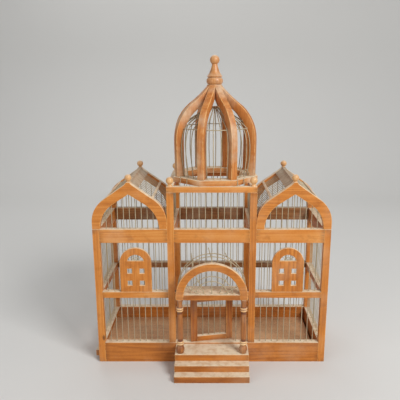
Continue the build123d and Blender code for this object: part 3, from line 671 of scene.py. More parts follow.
@dataclass
class Joinery:
    """Makes boards: rounds their edges and marks which way their grain runs."""

    edge_radius: float = 0.7 * MM
    edge_steps: int = 2
    sharp: float = math.radians(20.0)
    smooth_below: float = 25.0
    nearly_deep: float = 0.7
    no_end: float = 10.0

    def add_bar(self, shape: Shape, low: Sequence[float], high: Sequence[float]) -> None:
        """Add a squared bar between two opposite corners to a shape."""
        size, middle = Vector(high) - Vector(low), (Vector(high) + Vector(low)) / 2
        bmesh.ops.create_cube(shape, matrix=Matrix.LocRotScale(middle, None, size))

    def thicken(self, shape: Shape, faces: list[Face], way: Point) -> None:
        """Make flat faces into a solid.

        Args:
            shape: Shape that the faces belong to.
            faces: Faces to thicken.
            way: How far and which way the solid reaches.
        """
        lifted = bmesh.ops.extrude_face_region(shape, geom=faces)["geom"]
        corners = [corner for corner in lifted if isinstance(corner, Corner)]
        bmesh.ops.translate(shape, verts=corners, vec=way)

    def _round_edges(self, shape: Shape, radius: float) -> None:
        """Round the sharp edges of a shape and mark the new faces.

        Args:
            shape: Shape to round.
            radius: Radius of the edges, or 0 for the usual one.
        """
        layer = shape.faces.layers.float.new("edge")
        shared = [edge for edge in shape.edges if len(edge.link_faces) == 2]
        edges = [edge for edge in shared if edge.calc_face_angle(0.0) > self.sharp]
        sizes = {"offset": radius or self.edge_radius, "segments": self.edge_steps, "profile": 0.5}
        result = bmesh.ops.bevel(shape, geom=edges, affect="EDGES", clamp_overlap=True, **sizes)
        for face in result["faces"]:
            face[layer] = 1.0

    def _mark_grain(self, shape: Shape, name: str, grain: Grain, stain: float) -> None:
        """Write the grain of each loose piece of a shape into its corners.

        Args:
            shape: Shape to mark.
            name: Name of the piece, which seeds the chance that tells its boards apart.
            grain: Direction of the grain.
            stain: How much paler the piece is than its finish, or darker below zero.
        """
        layers = shape.verts.layers
        along_layer, ends_layer = layers.float_vector.new("grain"), layers.float_vector.new("ends")
        board_layer, stain_layer = layers.float.new("board"), layers.float.new("stain")
        chance = random.Random(name)
        for group in islands(shape):
            along = Vector(grain.value) if grain.value else self._longest_edge(group)
            beside = (0, 1, 0) if abs(along.y) < self.nearly_deep else (1, 0, 0)
            across = along.cross(Vector(beside)).normalized()
            third = along.cross(across)
            board = chance.random()
            ends = (-self.no_end, self.no_end, 0.0)
            if grain is Grain.LONGEST:
                reach = [along.dot(corner.co) for corner in group]
                ends = (min(reach), max(reach), 0.0)
            for corner in group:
                corner[along_layer] = [way.dot(corner.co) for way in (along, across, third)]
                corner[board_layer] = board
                corner[stain_layer] = stain
                corner[ends_layer] = ends

    @staticmethod
    def _longest_edge(group: Iterable[Corner]) -> Vector:
        """Find the longest edge of a loose piece, by its size and way and not by its order.

        Args:
            group: Corners of the piece.

        Returns:
            Direction of the edge, with length 1 and the same in each run.
        """
        edges = {edge for corner in group for edge in corner.link_edges}
        ways = [edge.verts[1].co - edge.verts[0].co for edge in edges]
        ways = [way if max(way, key=abs) > 0 else -way for way in ways]
        longest = max(ways, key=lambda way: [round(size, 6) for size in (way.length, *way)])
        return longest.normalized()

    def mesh(
        self, shape: Shape, name: str, grain: Grain, radius: float = 0.0, stain: float = 0.0
    ) -> Mesh:
        """Round, mark and close a shape, and turn it into a mesh.

        Args:
            shape: Shape to finish, which is freed.
            name: Name of the mesh.
            grain: Direction of the grain.
            radius: Radius of the rounded edges, or 0 for the usual one.
            stain: How much paler the piece is than its finish.

        Returns:
            The mesh.
        """
        self._round_edges(shape, radius)
        self._mark_grain(shape, name, grain, stain)
        bmesh.ops.recalc_face_normals(shape, faces=shape.faces)
        return close_shape(shape, name, self.smooth_below)


def turned_mesh(
    name: str, profile: Iterable[Pair], sides: int = 24, stain: float = 0.0,
    bands: Iterable[Point] = (), smooth_below: float = 38.0,
) -> Mesh:
    """Turn a profile round the upright axis into a closed mesh, as a lathe does.

    Args:
        name: Name of the mesh.
        profile: Radius and height of each point, from the foot to the head, both on the axis.
        sides: Number of sides.
        stain: How much paler the piece is than its finish.
        bands: Lowest height, highest height and own lightness of each band that differs, stained,
            painted shade or painted highlight.
        smooth_below: Angle in degrees from which an edge is sharp.

    Returns:
        The mesh, with its grain upright.
    """
    shape = bmesh.new()
    layer = shape.verts.layers.float_vector.new("grain")
    stain_layer = shape.verts.layers.float.new("stain")
    rings = []
    for radius, height in profile:
        turns = [2 * math.pi * i / sides for i in range(sides)] if radius > 0 else [0.0]
        places = [(radius * math.cos(a), radius * math.sin(a), height) for a in turns]
        rings.append([shape.verts.new(place) for place in places])
    for pair in zip(rings, rings[1:]):
        for i in range(sides):
            (a, b), (d, c) = ([ring[k % sides % len(ring)] for k in (i, i + 1)] for ring in pair)
            shape.faces.new(list(dict.fromkeys((a, b, c, d))))
    for corner in shape.verts:
        corner[layer] = (corner.co.z, corner.co.x, corner.co.y)
        own = [value for low, high, value in bands if low < corner.co.z < high]
        corner[stain_layer] = own[0] if own else stain
    return close_shape(shape, name, smooth_below)


def in_metres(rows: Iterable[Sequence[float]]) -> list[tuple[float, ...]]:
    """Turn the lengths of a table from millimetres into metres."""
    return [tuple(length * MM for length in row) for row in rows]


def curve_through(points: Sequence[Pair], steps: int = 6) -> list[Pair]:
    """Smooth line through some points.

    Args:
        points: Points that the line passes through.
        steps: Number of short runs between two of them.

    Returns:
        The points of the smooth line.
    """
    ends = [points[0], *points, points[-1]]
    line = []
    for near in zip(ends, ends[1:], ends[2:], ends[3:]):
        for i in range(steps):
            t = i / steps
            weights = (
                -0.5 * t**3 + t**2 - 0.5 * t,
                1.5 * t**3 - 2.5 * t**2 + 1.0,
                -1.5 * t**3 + 2.0 * t**2 + 0.5 * t,
                0.5 * t**3 - 0.5 * t**2,
            )
            line.append(tuple(sum(w * p[k] for w, p in zip(weights, near)) for k in range(2)))
    return line + [points[-1]]


def bead(foot: Pair, head: Pair, reach: float, steps: int) -> list[Pair]:
    """Round swelling between two points of a profile, or a hollow.

    Args:
        foot: Point that it starts from, which isn't repeated.
        head: Point that it ends at.
        reach: How far it swells, or below zero how deep it is hollowed.
        steps: Number of short runs.

    Returns:
        The points after the foot.
    """
    line = []
    for i in range(1, steps + 1):
        share = i / steps
        out = reach * math.sin(math.pi * share)
        radius, height = (a + (b - a) * share for a, b in zip(foot, head))
        line.append((radius + out, height))
    return line


def arc(centre: Pair, radius: float, start: float, end: float, steps: int) -> list[Pair]:
    """Points of an arc from one angle to another in radians, one more than its short runs."""
    turns = [start + (end - start) * i / steps for i in range(steps + 1)]
    return [(centre[0] + radius * math.cos(a), centre[1] + radius * math.sin(a)) for a in turns]


def ball(radius: float, neck: float, foot: float, steps: int = 14) -> list[Pair]:
    """Profile of a ball from its neck up to its top.

    Args:
        radius: Radius of the ball.
        neck: Radius of the neck that the ball stands on.
        foot: Height where the ball meets its neck.
        steps: Number of short runs.

    Returns:
        The points of the profile, up to the axis.
    """
    start = -math.acos(neck / radius)
    centre = foot - radius * math.sin(start)
    round_line = arc((0.0, centre), radius, start, math.pi / 2, steps)
    return round_line[:-1] + [(0.0, centre + radius)]


def upright(line: Iterable[Pair], depth: float) -> list[Point]:
    """Stand a flat line up in the plane at a depth."""
    return [(x, depth, z) for x, z in line]


def upright_line(low: Vector, high: Vector) -> list[Point]:
    """Two ends of an upright wire that fills a box."""
    x, y = (low.x + high.x) / 2, (low.y + high.y) / 2
    return [(x, y, low.z), (x, y, high.z)]


@dataclass(frozen=True)
class WireStyle:
    """Radius of a wire, the distance between its bends and how far it may wander."""

    radius: float = WIRE_RADIUS
    spacing: float = 12 * MM
    waviness: float = 0.45 * MM


@dataclass
class Bench:
    """Holds the finishes, the trees and the joinery, and hands finished pieces to the frame."""

    joinery: Joinery
    wires: WireTree
    copies: CopyTree
    finishes: dict[Slot, Material]
    old_wood: Material

    def settle(
        self, piece: Piece, slot: Slot, body: Body = Body.CAGE, node: str | None = None
    ) -> None:
        """Give a finished piece its body, its slot and the node that it stands for.

        Args:
            piece: Finished object.
            slot: Slot that its finish belongs to.
            body: Body that it rides on.
            node: Frame node that it replaces, if it replaces one.
        """
        if not piece.data.materials:
            piece.data.materials.append(self.finishes[slot])
        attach(piece, body.value)
        if node:
            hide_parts(node)
        log.info("%s: %d faces, on %s", piece.name, len(piece.data.polygons), body.value)

    def board(
        self, node: str, slot: Slot = Slot.FRAME, body: Body = Body.CAGE,
        grain: Grain = Grain.LONGEST, radius: float = 0.0, stain: float = 0.0,
        old: bool = False, shape: Shape | None = None,
    ) -> None:
        """Dress the boards of one frame node.

        Args:
            node: Name of the node.
            slot: Slot of the finish.
            body: Body that the boards ride on.
            grain: Direction of the grain.
            radius: Radius of the rounded edges, or 0 for the usual one.
            stain: How much paler the boards are than the finish.
            old: Whether they have the greyer finish of old wood.
            shape: Shape of the boards, where it isn't the node's own.
        """
        name = f"fine_{node}"
        mesh = self.joinery.mesh(shape or node_shape(node), name, grain, radius, stain)
        if old:
            mesh.materials.append(self.old_wood)
        self.settle(link(name, mesh), slot, body, node)

    def wire(
        self, name: str, lines: Iterable[Sequence[Sequence[float]]],
        style: WireStyle = WireStyle(), body: Body = Body.CAGE, closed: bool = False,
    ) -> None:
        """Draw round wire along some lines.

        Args:
            name: Name of the frame node that the wires replace, or of a piece without one.
            lines: Points of each wire.
            style: Size and bends of the wire.
            body: Body that the wires ride on.
            closed: Whether the last point of each line meets its first.
        """
        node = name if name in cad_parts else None
        name = f"fine_{node}" if node else name
        corners, edges = [], []
        for line in lines:
            first = len(corners)
            corners.extend(tuple(point) for point in line)
            edges.extend((i, i + 1) for i in range(first, len(corners) - 1))
            if closed:
                edges.append((len(corners) - 1, first))
        mesh = bpy.data.meshes.new(name)
        mesh.from_pydata(corners, edges, [])
        values = {
            "Radius": style.radius,
            "Spacing": style.spacing,
            "Waviness": style.waviness,
            "Seed": random.Random(name).uniform(0.0, 50.0),
            "Finish": self.finishes[Slot.WIRE],
        }
        self.settle(self.wires.apply(link(name, mesh), values), Slot.WIRE, body, node)

    def repeat(
        self, node: str, shape: Mesh, places: Sequence[Sequence[float]],
        slot: Slot = Slot.TURNED, turns: Sequence[float] = (),
    ) -> None:
        """Set copies of a shape at some places.

        Args:
            node: Name of the frame node that the copies replace.
            shape: Mesh of one copy.
            places: Place of each copy.
            slot: Slot of the finish.
            turns: Angle of each copy about the upright axis, in radians, where any is turned.
        """
        name = f"fine_{node}"
        mesh = bpy.data.meshes.new(name)
        mesh.from_pydata([tuple(place) for place in places], [], [])
        turn = mesh.attributes.new("turn", "FLOAT", "POINT")
        turn.data.foreach_set("value", list(turns) or [0.0] * len(places))
        pattern = link(f"{name}_pattern", shape)
        seed = random.Random(name).randrange(1000)
        values = {"Shape": pattern, "Seed": seed, "Finish": self.finishes[slot]}
        piece = self.copies.apply(link(name, mesh), values)
        bpy.data.objects.remove(pattern)
        self.settle(piece, slot, Body.CAGE, node)


@dataclass
class Assembly:
    """Part of the cage that is made on a bench."""

    bench: Bench


@dataclass
class Carcass(Assembly):
    """Posts, rails and boards of the body, with the upright wires between them."""

    cap_rail_width: float = 16 * MM
    wire_rows: tuple[str, ...] = (
        "front_wing_wires",
        "front_centre_wires",
        "back_wires",
        "end_wires",
        "tower_face_wires",
        "tower_side_wires",
        "gable_wires",
    )
    old_rails: tuple[str, ...] = ("back_mid_rails", "back_top_rails")
    frame_boards: tuple[tuple[str, float], ...] = (
        ("front_board", -0.18),
        # Painted shade: the back board is darker, as the back of the cage lies in shade.
        ("back_board", -0.16),
        ("right_board", -0.18),
        ("tray_slot_rail", -0.10),
        ("corner_posts", -0.04),
        ("tower_posts", -0.04),
        ("front_mid_rails", 0.0),
        # Painted shade on the back mid rails.
        ("back_mid_rails", -0.16),
        ("side_mid_rails", -0.05),
        ("front_top_rails", 0.04),
        # Painted shade on the back top rails.
        ("back_top_rails", -0.16),
        ("side_top_rails", 0.0),
        ("tower_side_rails", 0.0),
    )

    def build(self) -> None:
        """Make and dress the body of the cage."""
        self.bench.board("base_panel", Slot.PANEL)
        for node, stain in self.frame_boards:
            self.bench.board(node, stain=stain, old=node in self.old_rails)
        self._cap_rails()
        for node in self.wire_rows:
            self.bench.wire(node, [upright_line(low, high) for low, high in node_boxes(node)])

    def _cap_rails(self) -> None:
        """Four rails on the tower posts, the side ones between the front and the back one."""
        low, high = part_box("tower_cap_rails")
        width = self.cap_rail_width
        front, back = low.y + width, high.y - width
        shape = bmesh.new()
        for left, near, right, far in (
            (low.x, low.y, high.x, front),
            (low.x, back, high.x, high.y),
            (low.x, front, low.x + width, back),
            (high.x - width, front, high.x, back),
        ):
            self.bench.joinery.add_bar(shape, (left, near, low.z), (right, far, high.z))
        self.bench.board("tower_cap_rails", shape=shape)


@dataclass
class Wings(Assembly):
    """Gables, ridge boards, slats, roof wires, windows and balls of the two wings."""

    centre: float = 192.5 * MM
    half_width: float = 87.5 * MM
    gable_edge: float = 1.1 * MM
    ridge_edge: float = 0.4 * MM
    slat_edge: float = 0.5 * MM
    leg_height: float = 16.5 * MM
    shoulder_radius: float = 66.0 * MM
    slope: float = math.radians(35.2)
    wire_inset: float = 4.0 * MM
    wire_seat: float = 5.0 * MM
    ridge_reach: float = 17.0 * MM
    arc_steps: int = 10
    roof_wire: WireStyle = WireStyle(spacing=6 * MM)
    ball_radius: float = 8.2 * MM
    neck_radius: float = 4.2 * MM
    neck_height: float = 1.6 * MM
    window_edge: float = 1.6 * MM
    window_sill: float = 79.4 * MM
    fan_rise: float = 15.0 * MM
    fan_half_width: float = 19.8 * MM
    fan_hoop_radius: float = 9.0 * MM
    fan_seat: float = 1.0 * MM
    fan_rays: tuple[float, ...] = (-58.0, -30.0, 0.0, 30.0, 58.0)
    fan_steps: int = 12
    fan_wire: WireStyle = WireStyle(0.6 * MM, 3 * MM, 0.2 * MM)

    def build(self) -> None:
        """Make and dress both wings."""
        deep = Grain.DEEP
        for side, sign in (("left", -1), ("right", 1)):
            for face in ("front", "back"):
                self.bench.board(f"gable_{face}_{side}", grain=Grain.ACROSS, radius=self.gable_edge)
            ridge, window = f"{side}_ridge_boards", f"{side}_window"
            self.bench.board(ridge, grain=deep, radius=self.ridge_edge, stain=-0.2, old=True)
            self.bench.board(window, grain=Grain.UPRIGHT, radius=self.window_edge, stain=-0.03)
            self._window_fan(window)
            self._roof_wires(f"{side}_roof_wires", sign)
        self.bench.board("roof_slats", grain=deep, radius=self.slat_edge)
        self._balls()

    def _roof_line(self, outer: bool) -> list[Pair]:
        """Line of one roof wire, from its foot to the ridge board.

        Args:
            outer: Whether the wire ends in the rail of the end wall, and not in the tower's.

        Returns:
            Distance from the middle of the wing and height over the rail, point by point.
        """
        foot = (self.half_width - self.wire_inset, -self.wire_seat)
        if not outer:
            foot = (self.half_width + self.wire_seat, -2 * self.wire_seat)
        centre = (self.half_width - self.shoulder_radius, self.leg_height)
        radius = self.shoulder_radius - self.wire_inset
        shoulder = arc(centre, radius, 0.0, math.pi / 2 - self.slope, self.arc_steps)
        rise = (shoulder[-1][0] - self.ridge_reach) * math.tan(self.slope)
        return [foot, *shoulder, (self.ridge_reach, shoulder[-1][1] + rise)]

    def _window_fan(self, window: str) -> None:
        """Small hoop and five rays in the round-headed opening of one window.

        Args:
            window: Frame node of the window.
        """
        low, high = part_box(window)
        middle, depth, sill = (low.x + high.x) / 2, (low.y + high.y) / 2, low.z + self.window_sill
        radius = (self.fan_half_width**2 + self.fan_rise**2) / (2 * self.fan_rise)
        drop = self.fan_rise - radius
        foot = (middle, sill - self.fan_seat)
        hoop = arc(foot, self.fan_hoop_radius, 0.0, math.pi, self.fan_steps)
        lines = [upright(hoop, depth)]
        for turn in map(math.radians, self.fan_rays):
            slant = math.sqrt(radius**2 - (drop * math.sin(turn)) ** 2)
            reach = drop * math.cos(turn) + slant + self.fan_seat
            head = (middle + reach * math.sin(turn), sill + reach * math.cos(turn))
            lines.append(upright([foot, head], depth))
        self.bench.wire(f"{window}_fan", lines, self.fan_wire)

    def _roof_wires(self, node: str, sign: int) -> None:
        """Bent wires of both slopes of one wing.

        Args:
            node: Frame node of the wires.
            sign: -1 for the left wing and 1 for the right one.
        """
        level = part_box("front_top_rails")[1].z
        depths = sorted({round((low.y + high.y) / 2, 4) for low, high in node_boxes(node)})
        lines = []
        for way, outer in ((sign, True), (-sign, False)):
            line = [(sign * self.centre + way * u, level + v) for u, v in self._roof_line(outer)]
            lines += [upright(line, depth) for depth in depths]
        self.bench.wire(node, lines, self.roof_wire)

    def _balls(self) -> None:
        """Four turned balls on the tips of the gables."""
        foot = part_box("gable_finials")[0].z
        profile = [(0.0, 0.0), (self.neck_radius, 0.0)]
        profile += ball(self.ball_radius, self.neck_radius, self.neck_height)
        wall = (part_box("corner_posts")[1].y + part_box("back_board")[0].y) / 2
        places = [(x, y, foot) for x in (-self.centre, self.centre) for y in (-wall, wall)]
        self.bench.repeat("gable_finials", turned_mesh("gable_ball", profile, stain=0.22), places)


@dataclass
class Dome(Assembly):
    """Ring, ribs, hub, finial and wire cage of the onion dome, a little askew on the tower."""

    rib_count: int = 8
    shift: float = 7.0 * MM
    turn: float = math.radians(3.5)
    ring_apothem: float = 101.75 * MM
    ring_width: float = 34.0 * MM
    belly_height: float = 88.0 * MM
    foot_radius: float = 102.5 * MM
    belly_radius: float = 104.0 * MM
    shoulder_middle: float = 0.5 * MM
    shoulder_angle: float = math.radians(54.0)
    neck_radius: float = 271.0 * MM
    rib_width: float = 19.5 * MM
    rib_thickness: float = 15.5 * MM
    rib_head: float = 17.0 * MM
    rib_edge: float = 1.2 * MM
    button_edge: float = 0.5 * MM
    wire_swell: Profile = (
        (85.0, -5.0), (88.6, 18.0), (92.2, 44.0), (92.9, 68.0), (90.9, 92.0), (83.5, 114.0)
    )
    wire_cap: Profile = ((68.0, 128.0), (50.0, 139.5), (30.0, 151.5), (11.0, 162.0))
    near_angle: float = math.radians(5.5)
    far_angle: float = math.radians(15.7)
    wire: WireStyle = WireStyle(1.1 * MM, 7 * MM)
    hoop_wire: WireStyle = WireStyle(1.1 * MM, 6 * MM)
    hoop_steps: int = 64
    ball_radius: float = 8.75 * MM
    ball_neck_radius: float = 4.2 * MM
    ball_neck_low: float = 4.4 * MM
    ball_neck_height: float = 5.5 * MM
    ball_foot_radius: float = 6.3 * MM
    ball_foot_height: float = 3.4 * MM
    finial_collar: Profile = (
        (14.6, 0.0), (17.9, 2.2), (19.5, 5.8), (19.6, 9.2), (18.5, 13.2), (16.2, 16.2)
    )
    finial_groove: Profile = ((15.4, 16.6), (15.4, 17.2), (17.6, 17.6))
    finial_bell: Profile = (
        (18.4, 19.6), (15.0, 23.8), (12.1, 28.6), (9.8, 34.6), (7.6, 41.6), (6.5, 47.4)
    )
    finial_ball_radius: float = 11.4 * MM
    finial_sides: int = 48
    stay_places: tuple[float, ...] = (-74.0 * MM, -58.0 * MM, 60.0 * MM, 75.0 * MM)
    stay_seat: float = 2.0 * MM
    stay_wire: WireStyle = WireStyle(spacing=4 * MM, waviness=0.2 * MM)
    rim_seat: float = 1.0 * MM
    stay_end: Pair = (4.0 * MM, 0.6 * MM)
    curl_start: Pair = (69.0 * MM, -55.0 * MM)
    curl_end: Pair = (91.0 * MM, -40.0 * MM)
    curl_rise: float = 19.0 * MM
    curl_fullness: float = 0.7
    curl_steps: int = 16
    curl_wire: WireStyle = WireStyle(spacing=3 * MM, waviness=0.8 * MM)

    def build(self) -> None:
        """Make and dress the dome."""
        self._ring()
        self._ribs()
        self.bench.board("dome_hub", Slot.DOME, grain=Grain.UPRIGHT)
        self.bench.board("dome_button", Slot.TURNED, grain=Grain.ACROSS, radius=self.button_edge)
        self._finial()
        self._corner_balls()
        self._wires()
        self._loose_wires()

    def _turns(self, offset: float = 0.0) -> list[float]:
        """Angles of the middles of the ring's sides, moved on by an angle, all in radians."""
        start = self.turn + offset
        return [start + 2 * math.pi * i / self.rib_count for i in range(self.rib_count)]

    def _axis(self, level: float) -> Vector:
        """Point of the dome's axis at a height."""
        return Vector((self.shift, 0.0, level))

    def _ring(self) -> None:
        """Ring of eight boards with mitred ends."""
        low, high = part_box("dome_ring")
        outer, inner = self.ring_apothem, self.ring_apothem - self.ring_width
        spread = math.tan(math.pi / self.rib_count)
        plan = [(inner, 1), (outer, 1), (outer, -1), (inner, -1)]
        shape = bmesh.new()
        corners = [shape.verts.new((x, way * x * spread, low.z)) for x, way in plan]
        self.bench.joinery.thicken(shape, [shape.faces.new(corners)], (0, 0, high.z - low.z))
        mesh = self.bench.joinery.mesh(shape, "ring_board", Grain.DEEP)
        places = [self._axis(0.0)] * self.rib_count
        self.bench.repeat("dome_ring", mesh, places, Slot.DOME, self._turns())

    def _rib_edge(self, offset: float, steps: int = 9) -> list[Pair]:
        """One edge of a rib: a slightly swelling foot, a round shoulder and a hollow neck.

        Args:
            offset: Distance from the rib's outer edge.
            steps: Number of short runs in each of the three arcs.

        Returns:
            Distance from the axis and height over the ring, point by point.
        """
        belly, shoulder = self.belly_height, self.belly_radius - self.shoulder_middle
        angle, neck = self.shoulder_angle, self.neck_radius + offset
        swell = self.belly_radius - self.foot_radius
        foot = (belly**2 + swell**2) / (2 * swell)
        reach = shoulder + self.neck_radius
        middle = self.shoulder_middle + reach * math.cos(angle), belly + reach * math.sin(angle)
        head = math.pi + math.acos((middle[0] - self.rib_head) / neck)
        start = -math.asin(belly / (foot - offset))
        line = arc((self.belly_radius - foot, belly), foot - offset, start, 0.0, steps)
        line += arc((self.shoulder_middle, belly), shoulder - offset, 0.0, angle, steps)[1:]
        return line + arc(middle, neck, math.pi + angle, head, steps)[1:]

    def _ribs(self) -> None:
        """Eight sawn ribs that stand on the corners of the ring and lean on the hub."""
        shape = bmesh.new()
        half = self.rib_thickness / 2
        edges = [upright(self._rib_edge(offset), -half) for offset in (0.0, self.rib_width)]
        outer, inner = ([shape.verts.new(point) for point in edge] for edge in edges)
        faces = [shape.faces.new(four) for four in zip(outer, outer[1:], inner[1:], inner)]
        self.bench.joinery.thicken(shape, faces, (0, 2 * half, 0))
        bmesh.ops.recalc_face_normals(shape, faces=shape.faces)
        mesh = self.bench.joinery.mesh(shape, "rib", Grain.UPRIGHT, self.rib_edge)
        places = [self._axis(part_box("dome_ring")[1].z)] * self.rib_count
        turns = self._turns(math.pi / self.rib_count)
        self.bench.repeat("dome_ribs", mesh, places, Slot.DOME, turns)

    def _finial(self) -> None:
        """Turned collar, bell and ball on the hub."""
        profile = in_metres([
            (0.0, 0.0),
            *curve_through(self.finial_collar),
            *self.finial_groove,
            *curve_through(self.finial_bell),
        ])
        profile += ball(self.finial_ball_radius, *profile[-1])[1:]
        foot = self._axis(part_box("dome_finial")[0].z)
        mesh = turned_mesh("finial", profile, self.finial_sides)
        self.bench.repeat("dome_finial", mesh, [foot])

    def _corner_balls(self) -> None:
        """Four turned balls on the corners of the tower."""
        neck, foot = self.ball_neck_radius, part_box("tower_finials")[0].z
        profile = [(0.0, 0.0), (self.ball_foot_radius, 0.0)]
        profile += bead(profile[-1], (neck, self.ball_foot_height), 0.0, 2)
        profile.append((neck, self.ball_neck_low))
        profile += ball(self.ball_radius, neck, self.ball_neck_height)
        places = [(*upright_line(*box)[0][:2], foot) for box in node_boxes("tower_posts")]
        self.bench.repeat("tower_finials", turned_mesh("corner_ball", profile, stain=0.26), places)

    def _wires(self) -> None:
        """Wires of the dome and the hoop that ties them together."""
        centre = self._axis(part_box("dome_ring")[1].z)
        profile = in_metres(curve_through([*self.wire_swell, *self.wire_cap]))
        offsets = (-self.far_angle, -self.near_angle, self.near_angle, self.far_angle)
        lines = [
            [centre + Vector((r * math.cos(turn), r * math.sin(turn), z)) for r, z in profile]
            for offset in offsets
            for turn in self._turns(offset)
        ]
        self.bench.wire("dome_wires", lines, self.wire)
        radius, height = in_metres(self.wire_swell)[-1]
        radius += 2 * WIRE_RADIUS
        circle = arc((0.0, 0.0), radius, 0.0, 2 * math.pi, self.hoop_steps)[:-1]
        hoop = [centre + Vector((x, y, height)) for x, y in circle]
        self.bench.wire("dome_hoop", [hoop], self.hoop_wire, closed=True)

    def _loose_wires(self) -> None:
        """Short stays from the front cap rail up to the ring, and a wire that curls up from it."""
        rail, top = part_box("tower_cap_rails"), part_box("dome_ring")[1].z
        depth, low = rail[0].y + Carcass.cap_rail_width / 2, rail[1].z - self.stay_seat
        rim = top - self.rim_seat
        over, above = self.stay_end
        stays = []
        for x in self.stay_places:
            turn = self.turn - math.pi / 2 + math.copysign(math.pi / 4, x)
            edge = (self.ring_apothem - math.cos(turn) * (x - self.shift)) / math.sin(turn)
            head = (x, edge + over, top + above)
            stays.append([(x, depth, low), (x, edge - WIRE_RADIUS, rim), head])
        self.bench.wire("dome_stays", stays, self.stay_wire)
        curl = []
        for i in range(self.curl_steps + 1):
            share = i / self.curl_steps
            x, y = (a + (b - a) * share for a, b in zip(self.curl_start, self.curl_end))
            lift = self.curl_rise * math.sin(math.pi * share) ** self.curl_fullness
            curl.append((x, y, rim + lift))
        self.bench.wire("dome_curl", [curl], self.curl_wire)


